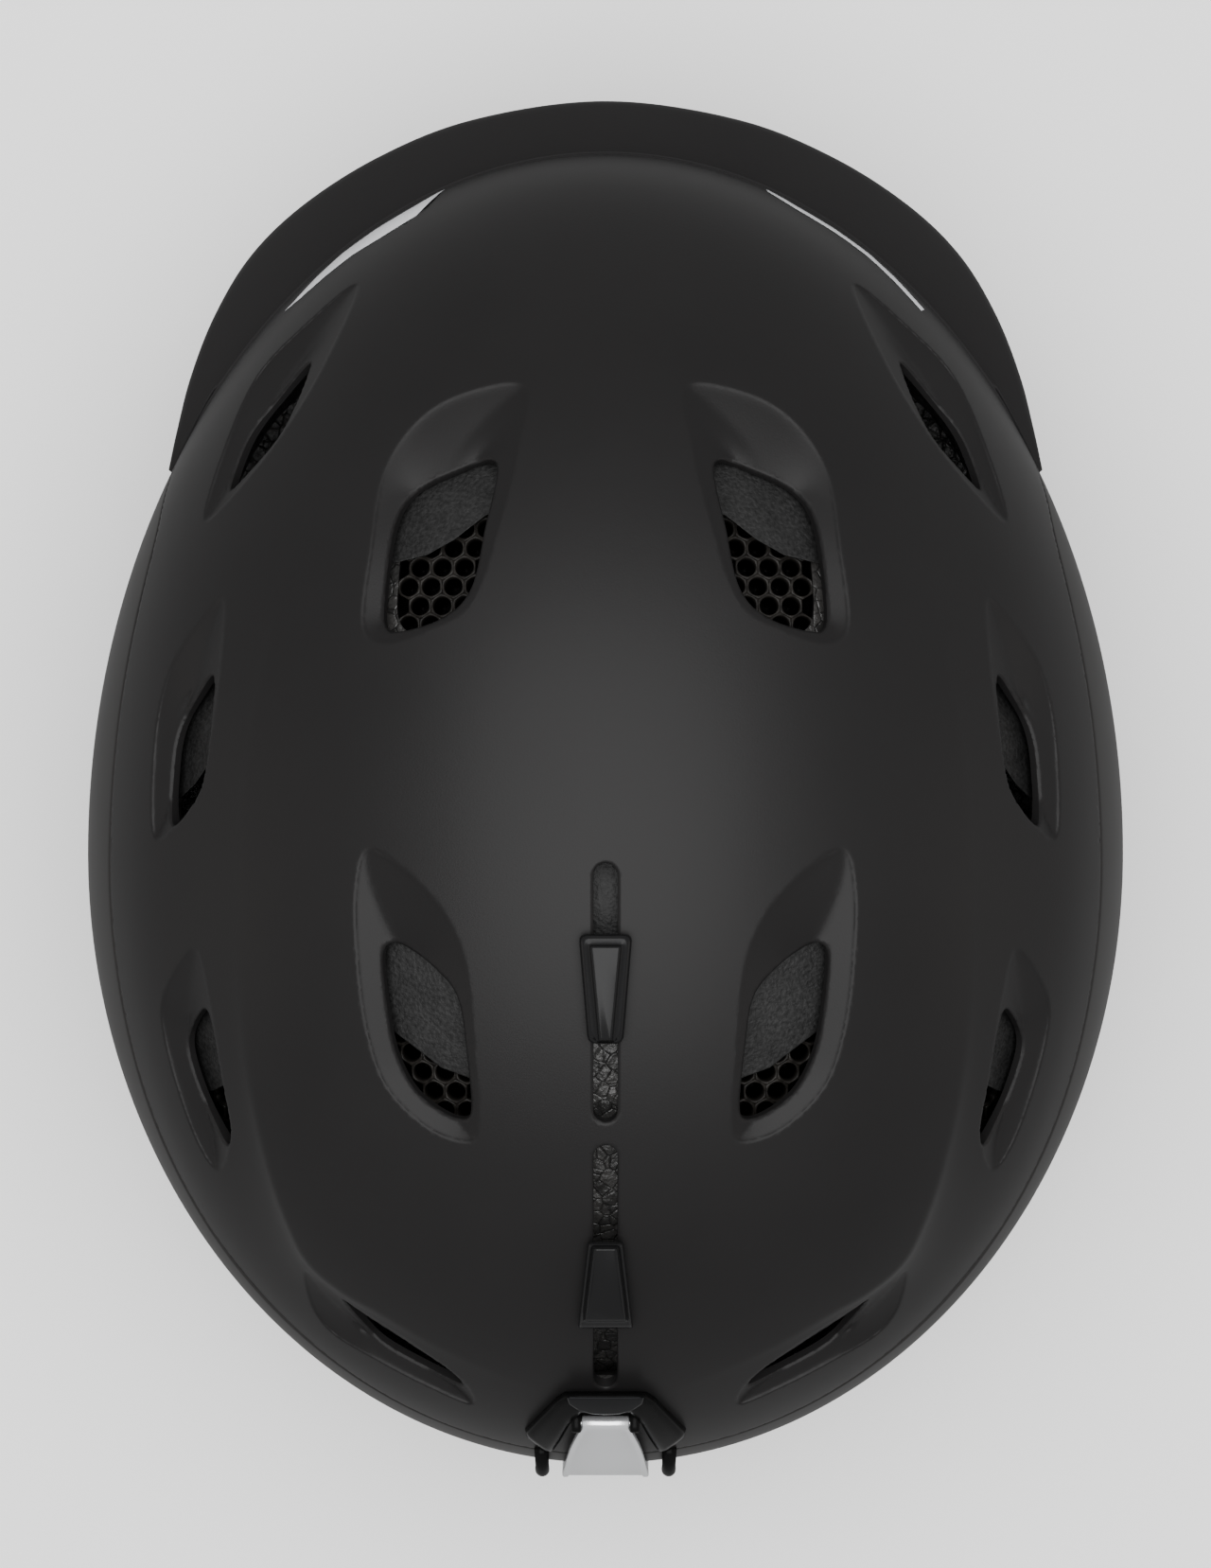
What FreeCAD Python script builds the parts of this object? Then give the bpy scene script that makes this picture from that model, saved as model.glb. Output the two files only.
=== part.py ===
"""Ski helmet: hard upper shell, in-moulded lower shell, foam liner, vent shutters, fit system and straps.

Frame: +Z up, the front (brim) looks along -Y, the wearer's left is +X.  The helmet stands on its ear
pads at Z = 0.  All sizes are in millimetres.
"""
import FreeCAD, Part
import math
import os
from FreeCAD import Placement, Rotation, Vector

doc = FreeCAD.newDocument("ski_helmet")

# ---------------------------------------------------------------- driving dimensions
SIZES = {
    "half_width": (109.0, "outer form, half of its width"),
    "front_reach": (147.0, "outer form, centre to the front"),
    "rear_reach": (128.5, "outer form, centre to the rear"),
    "crown_rise": (105.0, "outer form, widest level to the crown"),
    "centre_y": (14.4, "outer form, fore-and-aft place of its centre"),
    "widest_z": (95.0, "height of the widest level above the table"),
    "upper_skin": (2.4, "thickness of the upper shell"),
    "glue_gap": (0.1, "glue line between the upper shell and the foam"),
    "lower_skin": (1.2, "thickness of the in-moulded lower shell"),
    "bezel_top": (2.0, "depth at which a vent's recessed floor starts"),
    "bezel_foot": (4.8, "depth at which a vent's recessed floor ends"),
    "shutter_top": (6.1, "depth of the shutters' upper face"),
    "shutter_foot": (7.1, "depth of the shutters' lower face"),
    "channel_depth": (8.3, "depth of the shutter channel in the foam"),
    "head_half_width": (82.0, "foam cavity, half of its width"),
    "head_half_length": (103.0, "foam cavity, half of its length"),
    "head_rise": (76.0, "foam cavity, widest level to its top"),
    "head_y": (5.0, "foam cavity, fore-and-aft place of its centre"),
    "comfort_thick": (7.0, "thickness of the comfort pads"),
    "slot_half": (2.4, "half of the width of a slider slot"),
    "knob_gap": (0.7, "clearance between a slider knob and the shell"),
    "knob_height": (4.2, "height of a slider knob above the shell"),
    "knob_ridge": (5.4, "height of the knob's centre ridge above the shell"),
    "stem_half": (1.9, "half of the width of a slider stem"),
    "screw_radius": (1.1, "radius of the screw in a slider stem"),
    "brim_thick": (5.5, "upright thickness of the brim"),
    "strap_width": (15.0, "width of the chin webbing"),
    "strap_thick": (1.6, "thickness of the chin webbing"),
    "divider_z": (58.0, "height of the strap dividers"),
    "divider_x": (60.0, "half of the distance between the strap dividers"),
    "dial_radius": (17.0, "radius of the fit dial"),
    "tube_pitch": (4.4, "distance between the airflow tubes in a core"),
    "tube_bore": (1.85, "inner radius of an airflow tube"),
    "ear_hinge_z": (69.0, "height of the ear pads' hinge line"),
    "ear_hinge_x": (86.0, "half of the distance between the hinge lines"),
}
sheet = doc.addObject("Spreadsheet::Sheet", "sizes")
for line, (alias, (value, note)) in enumerate(SIZES.items(), start=1):
    sheet.set("A%d" % line, note)
    sheet.set("B%d" % line, str(value))
    sheet.setAlias("B%d" % line, alias)
doc.recompute()


def size(alias):
    """Value of one driving dimension, read back from the sheet."""
    return float(sheet.get(alias))


HALF_WIDTH = size("half_width")
FRONT_REACH = size("front_reach")
REAR_REACH = size("rear_reach")
CROWN_RISE = size("crown_rise")
CENTRE_Y = size("centre_y")
WIDEST_Z = size("widest_z")
SKY = 260.0          # above everything
X_AXIS = Vector(1, 0, 0)
Y_AXIS = Vector(0, 1, 0)
Z_AXIS = Vector(0, 0, 1)
LEFT, RIGHT = 1, -1
SIDES = (("left", LEFT), ("right", RIGHT))


# ---------------------------------------------------------------- document helpers
def link(name, kind, first, second):
    """A two-piece boolean: Part::Cut, Part::Fuse or Part::Common."""
    obj = doc.addObject(kind, name)
    obj.Base = first
    obj.Tool = second
    return obj


def cut(name, base, tool):
    return link(name, "Part::Cut", base, tool)


def common(name, base, tool):
    return link(name, "Part::Common", base, tool)


def group(name, members):
    """Several separate pieces used as one tool."""
    obj = doc.addObject("Part::Compound", name)
    obj.Links = members
    return obj


def join(name, members):
    obj = doc.addObject("Part::MultiFuse", name)
    obj.Shapes = members
    return obj


def mirror(name, source):
    """The same piece on the other side of the middle plane."""
    obj = doc.addObject("Part::Mirroring", name)
    obj.Source = source
    obj.Base = Vector(0, 0, 0)
    obj.Normal = X_AXIS
    return obj


def shape(name, solid):
    obj = doc.addObject("Part::Feature", name)
    obj.Shape = solid
    return obj


def box(name, low, high):
    obj = doc.addObject("Part::Box", name)
    obj.Length, obj.Width, obj.Height = (high[i] - low[i] for i in range(3))
    obj.Placement = Placement(Vector(*low), Rotation())
    return obj


def cylinder(name, radius, start, axis, length):
    """A round bar; radius may be a number or an expression on the sheet."""
    obj = doc.addObject("Part::Cylinder", name)
    if isinstance(radius, str):
        obj.setExpression("Radius", radius)
    else:
        obj.Radius = radius
    obj.Height = length
    obj.Placement = Placement(Vector(*start), Rotation(Z_AXIS, axis))
    return obj


# ---------------------------------------------------------------- form helpers
LYING = Rotation(Y_AXIS, 90)
HALF_TURN = Rotation(X_AXIS, 180)


def dome(name, depth):
    """The outer form taken in by depth: a front and a rear half ellipsoid, poles on the X axis."""
    halves = []
    for half, reach, turn in (("front", "front_reach", HALF_TURN.multiply(LYING)),
                              ("rear", "rear_reach", LYING)):
        obj = doc.addObject("Part::Ellipsoid", "%s_%s" % (name, half))
        obj.setExpression("Radius1", "sizes.half_width - (%s)" % depth)
        obj.setExpression("Radius2", "sizes.crown_rise - (%s)" % depth)
        obj.setExpression("Radius3", "sizes.%s - (%s)" % (reach, depth))
        obj.Angle3 = 180
        obj.Placement = Placement(Vector(0, 0, 0), turn)
        obj.setExpression("Placement.Base.y", "sizes.centre_y")
        obj.setExpression("Placement.Base.z", "sizes.widest_z")
        halves.append(obj)
    return link(name, "Part::Fuse", *halves)


def shell_z(x, y, depth=0.0):
    """Height of the outer form, taken in by depth, above a point of the plan."""
    reach = (FRONT_REACH if y < CENTRE_Y else REAR_REACH) - depth
    inside = 1 - (x / (HALF_WIDTH - depth)) ** 2 - ((y - CENTRE_Y) / reach) ** 2
    return WIDEST_Z + (CROWN_RISE - depth) * math.sqrt(max(inside, 0))


def smooth_wire(points, close=True, plane=None):
    """A smooth curve through a few points, closed or open, in the plan or in another plane."""
    plane = plane or (lambda u, v: Vector(u, v, 0))
    curve = Part.BSplineCurve()
    curve.interpolate(Points=[plane(u, v) for u, v in points], PeriodicFlag=close)
    return curve.toShape()


def grown(points, distance):
    """A closed outline with each point moved outwards, square to the line between its neighbours."""
    count = len(points)
    area = sum(points[i - 1][0] * points[i][1] - points[i][0] * points[i - 1][1] for i in range(count))
    outwards = math.copysign(distance, area)
    moved = []
    for i, (x, y) in enumerate(points):
        run_x = points[(i + 1) % count][0] - points[i - 1][0]
        run_y = points[(i + 1) % count][1] - points[i - 1][1]
        length = math.hypot(run_x, run_y)
        moved.append((x + run_y / length * outwards, y - run_x / length * outwards))
    return moved


def plan_prism(points, low=0.0, high=SKY, smooth=True):
    """An upright prism over a closed outline of the plan."""
    if smooth:
        wire = Part.Wire(smooth_wire(points))
    else:
        corners = [Vector(x, y, 0) for x, y in points]
        wire = Part.makePolygon(corners + corners[:1])
    face = Part.Face(wire)
    face.translate(Vector(0, 0, low))
    return face.extrude(Vector(0, 0, high - low))


def side_prism(points, x_low, x_high):
    """A prism along X over a closed outline given as (y, z)."""
    corners = [Vector(x_low, y, z) for y, z in points]
    wire = Part.makePolygon(corners + corners[:1])
    return Part.Face(wire).extrude(Vector(x_high - x_low, 0, 0))


def below_profile(points, floor=-60.0):
    """Everything under a smooth side profile given as (y, z)."""
    edge = smooth_wire(points, close=False, plane=lambda u, v: Vector(-150, u, v))
    (y_first, z_first), (y_last, z_last) = points[0], points[-1]
    ends = [Vector(-150, y_last, z_last), Vector(-150, y_last, floor),
            Vector(-150, y_first, floor), Vector(-150, y_first, z_first)]
    wire = Part.Wire([edge] + Part.makePolygon(ends).Edges)
    return Part.Face(wire).extrude(Vector(300, 0, 0))


# ---------------------------------------------------------------- layers of the outer form
outer_form = dome("outer_form", "0")
skin_form = dome("skin_form", "sizes.lower_skin")
under_shell = dome("under_shell", "sizes.upper_skin")
bezel_high = dome("bezel_high", "sizes.bezel_top")
bezel_low = dome("bezel_low", "sizes.bezel_foot")
shutter_high = dome("shutter_high", "sizes.shutter_top")
shutter_low = dome("shutter_low", "sizes.shutter_foot")
channel_form = dome("channel_form", "sizes.channel_depth")
bezel_layer = cut("bezel_layer", bezel_high, bezel_low)
shutter_layer = cut("shutter_layer", shutter_high, shutter_low)

# Side profiles (y, z): the lower rim of the helmet and the seam between its two shells.
RIM = [(-150, 94), (-128, 92), (-95, 90), (-60, 80), (-20, 78), (25, 80),
       (48, 68), (70, 45), (95, 37), (150, 39)]
SEAM = [(-150, 98), (-100, 99), (-70, 106), (-48, 126), (-8, 133), (35, 132),
        (75, 126), (105, 123), (150, 122)]
below_rim = shape("below_rim", below_profile(RIM))
below_seam = shape("below_seam", below_profile(SEAM))

# ---------------------------------------------------------------- vents (left side, plan outlines)
# Each vent has a dished recess in the shell and, inside it, the opening proper.
VENTS = {
    "top_front": {
        "recess": [(16.0, -78.5), (28, -77.3), (37.4, -71.7), (43.9, -61.3), (46.2, -46.1),
                   (47.6, -31.5), (43.5, -27.6), (35, -30), (26.3, -35.5), (21.2, -49.5), (17.1, -66.5)],
        "opening": [(21.6, -63.2), (29.7, -61.5), (37.8, -57.3), (41.6, -51), (43.3, -38.5),
                    (43.2, -30.9), (39.5, -30.0), (31.3, -32.8), (26.3, -38.3), (23.8, -49.5)],
    },
    "side_front": {
        "recess": [(50.5, -101.8), (61.9, -93.4), (71.7, -82.9), (78, -67), (81.3, -54.0),
                   (77.3, -55.9), (66.6, -68.1), (57.2, -83.5)],
        "opening": [(60.0, -85.6), (67.1, -78.2), (72.8, -70.5), (76.2, -60.0), (72.1, -62.9),
                    (64.7, -72)],
    },
    "side_middle": {
        "recess": [(76.5, -37.0), (82.6, -31.3), (88.1, -22.5), (91, -9.2), (91.2, 10.2),
                   (86.1, 8), (81, 0.4), (78.7, -10.9), (76.9, -24.1)],
        "opening": [(78.7, -21.7), (82.3, -17.6), (85.9, -11), (87.3, -3.4), (87.4, 8.0),
                    (83, 4.2), (80.4, -1.5), (79, -12.8)],
    },
    "top_rear": {
        "recess": [(46.0, 12.5), (48.7, 20.6), (48.2, 37.3), (46.2, 50.3), (42.6, 59.6), (35.2, 67),
                   (27.7, 69.9), (24.9, 67), (25.7, 50), (27.1, 35.2), (31.2, 25.1), (38.6, 16.9)],
        "opening": [(42.0, 31.1), (43.6, 34.0), (42.4, 46.5), (40.6, 53.9), (37, 60.4), (31.4, 64.6),
                    (27.4, 65.5), (26.3, 62.5), (27.2, 51.8), (28.8, 41.7), (33, 36.2), (38.6, 32.0)],
    },
    "side_rear": {
        "recess": [(83.1, 33.1), (87.9, 39.4), (90.0, 46.3), (88.1, 57.9), (83.5, 72.4),
                   (79.2, 78.6), (76.6, 71.7), (77.9, 55.2), (80.7, 36.8)],
        "opening": [(81.0, 45.2), (83.9, 48.8), (84.9, 53.7), (82.9, 61.4), (79.7, 69),
                    (77.0, 73.2), (76.1, 68.7), (77.6, 59.1), (79.3, 48.5)],
    },
    "rear_low": {
        "recess": [(60.7, 98.4), (60.7, 106.3), (56, 112.9), (46.3, 118), (36.6, 122.7), (27.4, 126.4),
                   (27.8, 122.6), (32.5, 117.9), (41.9, 110.9), (52.5, 104.3)],
        "opening": [(53.2, 104.3), (50.7, 109.1), (46, 114.1), (38.3, 118.3), (29.6, 122.2),
                    (31.5, 118.9), (40.1, 113), (48.7, 107.6)],
    },
}
CORED_VENTS = ("top_front", "top_rear", "side_rear")     # a tube core fills their way through the foam
BEZEL_RING = 2.0        # how far a recessed floor reaches under the shell around it
VENT_FLOOR = 100.0      # the vent prisms start above the widest level

recess_tools = []
opening_tools = []
bezel_tools = []
bezel_rooms = []
bezel_floor = dome("bezel_floor", "5.1")      # the foam under the vents that have no shutter
foam_shafts = []
for vent, outline in VENTS.items():
    recess = shape("recess_" + vent, plan_prism(outline["recess"], VENT_FLOOR))
    opening = shape("opening_" + vent, plan_prism(outline["opening"], VENT_FLOOR))
    ring = shape("ring_" + vent, plan_prism(grown(outline["recess"], BEZEL_RING), VENT_FLOOR))
    bezel = common("bezel_" + vent, ring, bezel_layer)
    left_tools = [(recess_tools, recess), (opening_tools, opening), (bezel_tools, bezel)]
    if vent not in CORED_VENTS:
        shaft = shape("shaft_" + vent, plan_prism(grown(outline["opening"], 0.6), VENT_FLOOR))
        left_tools.append((foam_shafts, shaft))
    for tools, left in left_tools:
        tools.append(left)
        tools.append(mirror(left.Name + "_right", left))
    if vent in ("side_front", "rear_low"):
        pocket = shape("pocket_" + vent, plan_prism(grown(outline["recess"], BEZEL_RING + 0.5), VENT_FLOOR))
        room = cut("bezel_room_" + vent, pocket, bezel_floor)
        bezel_rooms.append(room)
        bezel_rooms.append(mirror(room.Name + "_right", room))


# ---------------------------------------------------------------- slider slots
def stadium(y_first, y_last, half):
    """Outline points of a slot along Y with round ends."""
    points = []
    for centre, start in ((y_last - half, 0), (y_first + half, 180)):
        for step in range(0, 181, 30):
            angle = math.radians(start + step)
            points.append((half * math.cos(angle), centre + half * math.sin(angle)))
    return points


SLOT_HALF = size("slot_half")
FRONT_SLOT = (15.2, 65.9)
REAR_SLOT = (70.4, 121.7)
slots = [shape("front_slot", plan_prism(stadium(*FRONT_SLOT, SLOT_HALF), 120, smooth=False)),
         shape("rear_slot", plan_prism(stadium(*REAR_SLOT, SLOT_HALF), 120, smooth=False))]

# ---------------------------------------------------------------- accent strips beside the brim
ACCENT_DEPTH = 0.7
accent_form = dome("accent_form", str(ACCENT_DEPTH))
accent_layer = cut("accent_layer", outer_form, accent_form)
ACCENTS = {
    "left": [(33.6, -124.6), (40, -120.3), (48, -115.6), (55, -110.6), (60.5, -105.2), (66.2, -98.5),
             (62.8, -101.0), (58.0, -105.2), (52.5, -109.4), (46.9, -112.6), (39.1, -117.4)],
    "right": [(-33.6, -124.6), (-40, -120.3), (-48, -115.6), (-55, -110.6), (-60.5, -105.2),
              (-66.2, -98.5), (-65.5, -97.9), (-59.8, -104.4), (-54.3, -109.8), (-47.4, -114.8),
              (-39.5, -119.5), (-34.0, -123.4)],
}
accents = [common("accent_strip_" + side, accent_layer,
                  shape("accent_prism_" + side, plan_prism(points, 103, smooth=False)))
           for side, points in ACCENTS.items()]

# ---------------------------------------------------------------- shells
shell_blank = cut("shell_blank", outer_form, under_shell)
shell_above = cut("shell_above", shell_blank, below_seam)
shell_dished = cut("shell_dished", shell_above, group("recess_tools", recess_tools))
shell_floors = join("shell_floors", [shell_dished] + bezel_tools)
upper_shell = cut("upper_shell", shell_floors, group("shell_tools", opening_tools + slots + accents))

# The goggle strap lies in a flat trough across the rear of the lower shell.
TROUGH_Y = 137.4
trough = box("trough", (-40, TROUGH_Y, 58), (40, 160, 100))
trough_deep = box("trough_deep", (-42, TROUGH_Y - size("lower_skin"), 56), (42, 160, 101.2))
lower_outer = cut("lower_outer", outer_form, trough)
lower_inner = cut("lower_inner", skin_form, trough_deep)
lower_blank = cut("lower_blank", lower_outer, lower_inner)
lower_band = common("lower_band", lower_blank, below_seam)
lower_shell = cut("lower_shell", lower_band, below_rim)

# ---------------------------------------------------------------- foam liner
cavity_top = doc.addObject("Part::Ellipsoid", "cavity_top")
cavity_top.setExpression("Radius1", "sizes.head_half_width")
cavity_top.setExpression("Radius2", "sizes.head_rise")
cavity_top.setExpression("Radius3", "sizes.head_half_length")
cavity_top.Placement = Placement(Vector(0, size("head_y"), WIDEST_Z), LYING)


def oval_prism(name, inset, low, high):
    """Upright oval bar with the cavity's plan outline taken in by inset."""
    half_x = size("head_half_width") - inset
    half_y = size("head_half_length") - inset
    oval = Part.Ellipse(Vector(0, size("head_y") + half_y, 0), Vector(half_x, size("head_y"), 0),
                        Vector(0, size("head_y"), 0))
    face = Part.Face(Part.Wire(oval.toShape()))
    face.translate(Vector(0, 0, low))
    return shape(name, face.extrude(Vector(0, 0, high - low)))


cavity = join("cavity", [cavity_top, oval_prism("cavity_skirt", 0.0, 0.0, WIDEST_Z)])
CHANNEL = [(-24, 119), (-52, 88), (-84, 83), (-93, 62), (-96.4, 18), (-96.4, -12), (-88, -58),
           (-60, -83), (-51, -97), (51, -97), (60, -83), (88, -58), (96.4, -12), (96.4, 18),
           (93, 62), (84, 83), (52, 88), (24, 119)]
channel_prism = shape("channel_prism", plan_prism(CHANNEL, VENT_FLOOR, smooth=False))
channel = cut("channel", channel_prism, channel_form)
foam_block = cut("foam_block", lower_inner, below_rim)
foam_form = dome("foam_form", "sizes.upper_skin + sizes.glue_gap")
upper_room = cut("upper_room", outer_form, foam_form)
upper_room_above = cut("upper_room_above", upper_room, below_seam)
foam_capped = cut("foam_capped", foam_block, upper_room_above)
foam_bowl = cut("foam_bowl", foam_capped, cavity)
foam_channelled = cut("foam_channelled", foam_bowl, channel)
foam_pocketed = cut("foam_pocketed", foam_channelled, group("bezel_rooms", bezel_rooms))
foam_vented = cut("foam_vented", foam_pocketed, group("foam_shafts", foam_shafts))

EAR_X = size("ear_hinge_x")
EAR_Z = size("ear_hinge_z")
MOUNT_Y = (-30.0, 38.0)
MOUNT_X = (EAR_X - 3.6, EAR_X + 7.0)


def mount_box(name, side, low, high):
    """A block in the place of an ear pad's mount, between two heights."""
    sign = dict(SIDES)[side]
    x_low, x_high = sorted(sign * x for x in MOUNT_X)
    return box(name + side, (x_low, MOUNT_Y[0], low), (x_high, MOUNT_Y[1], high))


mount_pockets = group("mount_pockets", [mount_box("mount_pocket_", side, 60, 86) for side, _ in SIDES])
foam_whole = cut("foam_whole", foam_vented, mount_pockets)

# ---------------------------------------------------------------- airflow tube cores under the vents
CORES = {
    "front": [(19.5, -64), (30, -64.5), (38, -58), (40.3, -48), (41, -38), (40, -31), (32, -29),
              (25, -35), (21, -50)],
    "rear": [(41.5, 30), (45, 34), (44, 47), (41, 57), (37, 62.5), (31, 66.6), (26.5, 67), (25, 62),
             (26, 50), (27, 40), (32, 34)],
    "side": [(81, 44), (84.5, 48), (85.6, 54), (83.5, 62), (80, 70.5), (76.8, 74.4), (75.2, 69),
             (76.5, 58), (78.5, 47)],
}
core_form = dome("core_form", "sizes.channel_depth + 0.7")
core_layer = cut("core_layer", core_form, cavity_top)


def tube_bores(points, pitch, radius):
    """Upright round bores on a triangular grid, kept inside an outline."""
    area = Part.Face(Part.makePolygon([Vector(x, y, 0) for x, y in points + points[:1]]))
    limits = area.BoundBox
    bores = []
    row = 0
    y = limits.YMin
    while y < limits.YMax:
        x = limits.XMin + (pitch / 2 if row % 2 else 0.0)
        while x < limits.XMax:
            spot = Vector(x, y, 0)
            edge = Part.Vertex(spot).distToShape(area.OuterWire)[0]
            if area.isInside(spot, 0.01, True) and edge > radius + 0.35:
                bores.append(Part.makeCylinder(radius, SKY - VENT_FLOOR, Vector(x, y, VENT_FLOOR)))
            x += pitch
        y += pitch * math.sqrt(3) / 2
        row += 1
    return Part.makeCompound(bores)


core_seats = []
for zone, points in CORES.items():
    seat = shape("core_seat_" + zone, plan_prism(points, VENT_FLOOR))
    block = common("core_block_" + zone, seat, core_layer)
    bores = shape("core_bores_" + zone, tube_bores(points, size("tube_pitch"), size("tube_bore")))
    left = cut("tube_core_%s_left" % zone, block, bores)
    mirror("tube_core_%s_right" % zone, left)
    core_seats += [seat, mirror("core_seat_%s_right" % zone, seat)]
foam_seated = cut("foam_seated", foam_whole, group("core_seats", core_seats))
crown_foam = cut("crown_foam", foam_seated, below_seam)
common("eps_skirt", foam_seated, below_seam)
doc.recompute()


def largest(pieces):
    """The main piece of a solid that was cut through, without the crumbs beside it."""
    return max(pieces.Solids, key=lambda piece: piece.Volume)


# The crown foam is moulded in a front and a rear half that meet in an upright face.
CROWN_SPLIT_Y = 14.0
crown_main = largest(crown_foam.Shape)
rear_zone = Part.makeBox(300, 200, SKY, Vector(-150, CROWN_SPLIT_Y, 0))
crown_rear = largest(crown_main.common(rear_zone))
shape("eps_crown_rear", crown_rear)
shape("eps_crown_front", largest(crown_main.cut(crown_rear)))

# ---------------------------------------------------------------- vent shutters and their sliders
FRONT_SHUTTER = [(0, 48), (9, 48), (9, -56), (17, -55.5), (23.7, -52.7), (29.6, -48.1), (35.2, -45),
                 (42.3, -43.4), (49, -42), (74, -33), (74, -8), (80, -3.4), (82.5, 0), (85.1, 2.3),
                 (89.5, 5), (89.5, -12), (84, -36), (76, -46), (49, -66), (47, -79), (0, -79)]
REAR_SHUTTER = [(0, 92), (13, 92), (13, 56), (20, 50), (20, 17), (47, 17), (50, 28), (72, 32),
                (86, 34), (88, 44), (85.5, 58), (81.9, 62.7), (79.4, 62.1), (77.3, 61), (72, 59),
                (66, 48), (50, 46), (41.9, 48.3), (36.9, 52), (32.2, 55.6), (27.1, 57.4), (22, 60),
                (22, 98), (20, 106), (0, 106)]
FRONT_KNOB = [(-4.2, 28.9), (4.2, 28.9), (4.95, 30.2), (4.7, 32.5), (3.3, 50.2), (-3.3, 50.2),
              (-4.7, 32.5), (-4.95, 30.2)]
REAR_KNOB = [(-3.3, 89.7), (3.3, 89.7), (3.6, 91.0), (5.2, 106.2), (5.3, 107.9), (-5.3, 107.9),
             (-5.2, 106.2), (-3.6, 91.0)]
FRONT_RIDGE = [(-2.4, 30.4), (2.4, 30.4), (1.1, 49.0), (-1.1, 49.0)]
REAR_RIDGE = [(-1.1, 91.0), (1.1, 91.0), (2.8, 106.6), (-2.8, 106.6)]
knob_under = dome("knob_under", "-sizes.knob_gap")
knob_over = dome("knob_over", "-sizes.knob_height")
ridge_over = dome("ridge_over", "-sizes.knob_ridge")
knob_layer = cut("knob_layer", knob_over, knob_under)
ridge_layer = cut("ridge_layer", ridge_over, knob_under)

SLIDERS = {
    "front": (FRONT_SHUTTER, FRONT_KNOB, FRONT_RIDGE, 39.5),
    "rear": (REAR_SHUTTER, REAR_KNOB, REAR_RIDGE, 98.8),
}
STEM_LENGTH = 8.0
for end, (shutter_points, knob_points, ridge_points, stem_y) in SLIDERS.items():
    mirrored = [(-x, y) for x, y in reversed(shutter_points) if x]
    outline = [p for p in shutter_points] + mirrored
    blank = common("shutter_blank_" + end, shutter_layer,
                   shape("shutter_prism_" + end, plan_prism(outline, VENT_FLOOR, smooth=False)))
    knob_prism = shape("knob_prism_" + end, plan_prism(knob_points, 120, smooth=False))
    ridge_prism = shape("ridge_prism_" + end, plan_prism(ridge_points, 120, smooth=False))
    half = size("stem_half")
    stem_box = box("stem_box_" + end, (-half, stem_y - STEM_LENGTH / 2, 120),
                   (half, stem_y + STEM_LENGTH / 2, SKY))
    stem = common("stem_" + end, stem_box, cut("stem_layer_" + end, knob_over, shutter_high))
    solid = join("knob_solid_" + end, [
        common("knob_body_" + end, knob_prism, knob_layer),
        common("knob_ridge_" + end, ridge_prism, ridge_layer),
        stem])
    # The screw stands along the local normal of the shell, through the shutter into the stem.
    rise = (shell_z(0, stem_y) - WIDEST_Z) / CROWN_RISE ** 2
    normal = Vector(0, (stem_y - CENTRE_Y) / REAR_REACH ** 2, rise).normalize()
    foot = Vector(0, stem_y, shell_z(0, stem_y)) - normal * (size("shutter_foot") - 0.1)
    bore = cylinder("screw_bore_" + end, "sizes.screw_radius", tuple(foot - normal * 2), normal, 8.6)
    cut("%s_slider_knob" % end, solid, bore)
    cut("%s_shutter" % end, blank, bore)
    cylinder("%s_slider_screw" % end, "sizes.screw_radius", tuple(foot), normal, 6.4)

# ---------------------------------------------------------------- brim
BRIM_OUTER = [(91.8, -66.0), (90.3, -74.5), (87.8, -86), (83, -99.6), (75.6, -112.6), (64.5, -123.4),
              (48, -133.6), (28, -141.2), (0, -145.0)]
brim_outline = BRIM_OUTER + [(-x, y) for x, y in reversed(BRIM_OUTER[:-1])]
brim_curve = smooth_wire(brim_outline, close=False)
brim_chord = Part.LineSegment(brim_curve.Vertexes[-1].Point, brim_curve.Vertexes[0].Point).toShape()
brim_face = Part.Face(Part.Wire([brim_curve, brim_chord]))
brim_prism = shape("brim_prism", brim_face.extrude(Vector(0, 0, 140)))
BRIM_DOME = {"half_width": 127.4, "reach": 171.8, "rise": 83.1, "centre_z": 60.0}


def brim_dome(name, drop):
    """The brim's sloping face; the lower face is the same form moved straight down."""
    obj = doc.addObject("Part::Ellipsoid", name)
    obj.Radius1 = BRIM_DOME["half_width"]
    obj.Radius2 = BRIM_DOME["rise"]
    obj.Radius3 = BRIM_DOME["reach"]
    obj.Placement = Placement(Vector(0, CENTRE_Y, BRIM_DOME["centre_z"]), LYING)
    if drop:
        obj.setExpression("Placement.Base.z", "%s - sizes.brim_thick" % BRIM_DOME["centre_z"])
    return obj


brim_sheet = cut("brim_sheet", brim_dome("brim_over", False), brim_dome("brim_below", True))
brim_full = common("brim_full", brim_prism, brim_sheet)
brim_open = cut("brim_open", brim_full, outer_form)
brim = common("brim", brim_open, box("brim_zone", (-120, -160, 70), (120, -60, 140)))

# ---------------------------------------------------------------- goggle clip at the rear
CLIP_BASE = [(0, 122.3), (8.2, 122.3), (10.5, 124.2), (16.6, 131.9), (16.4, 133.2), (11.6, 137.9),
             (10.6, 137.6), (7.3, 130.3), (6.2, 129.2), (0, 128.8)]
clip_outline = CLIP_BASE + [(-x, y) for x, y in reversed(CLIP_BASE) if x]
clip_over = dome("clip_over", "-2.6")
clip_layer = cut("clip_layer", clip_over, outer_form)
clip_arch = common("clip_arch", clip_layer,
                   shape("clip_prism", plan_prism(clip_outline, 112, smooth=False)))

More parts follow.
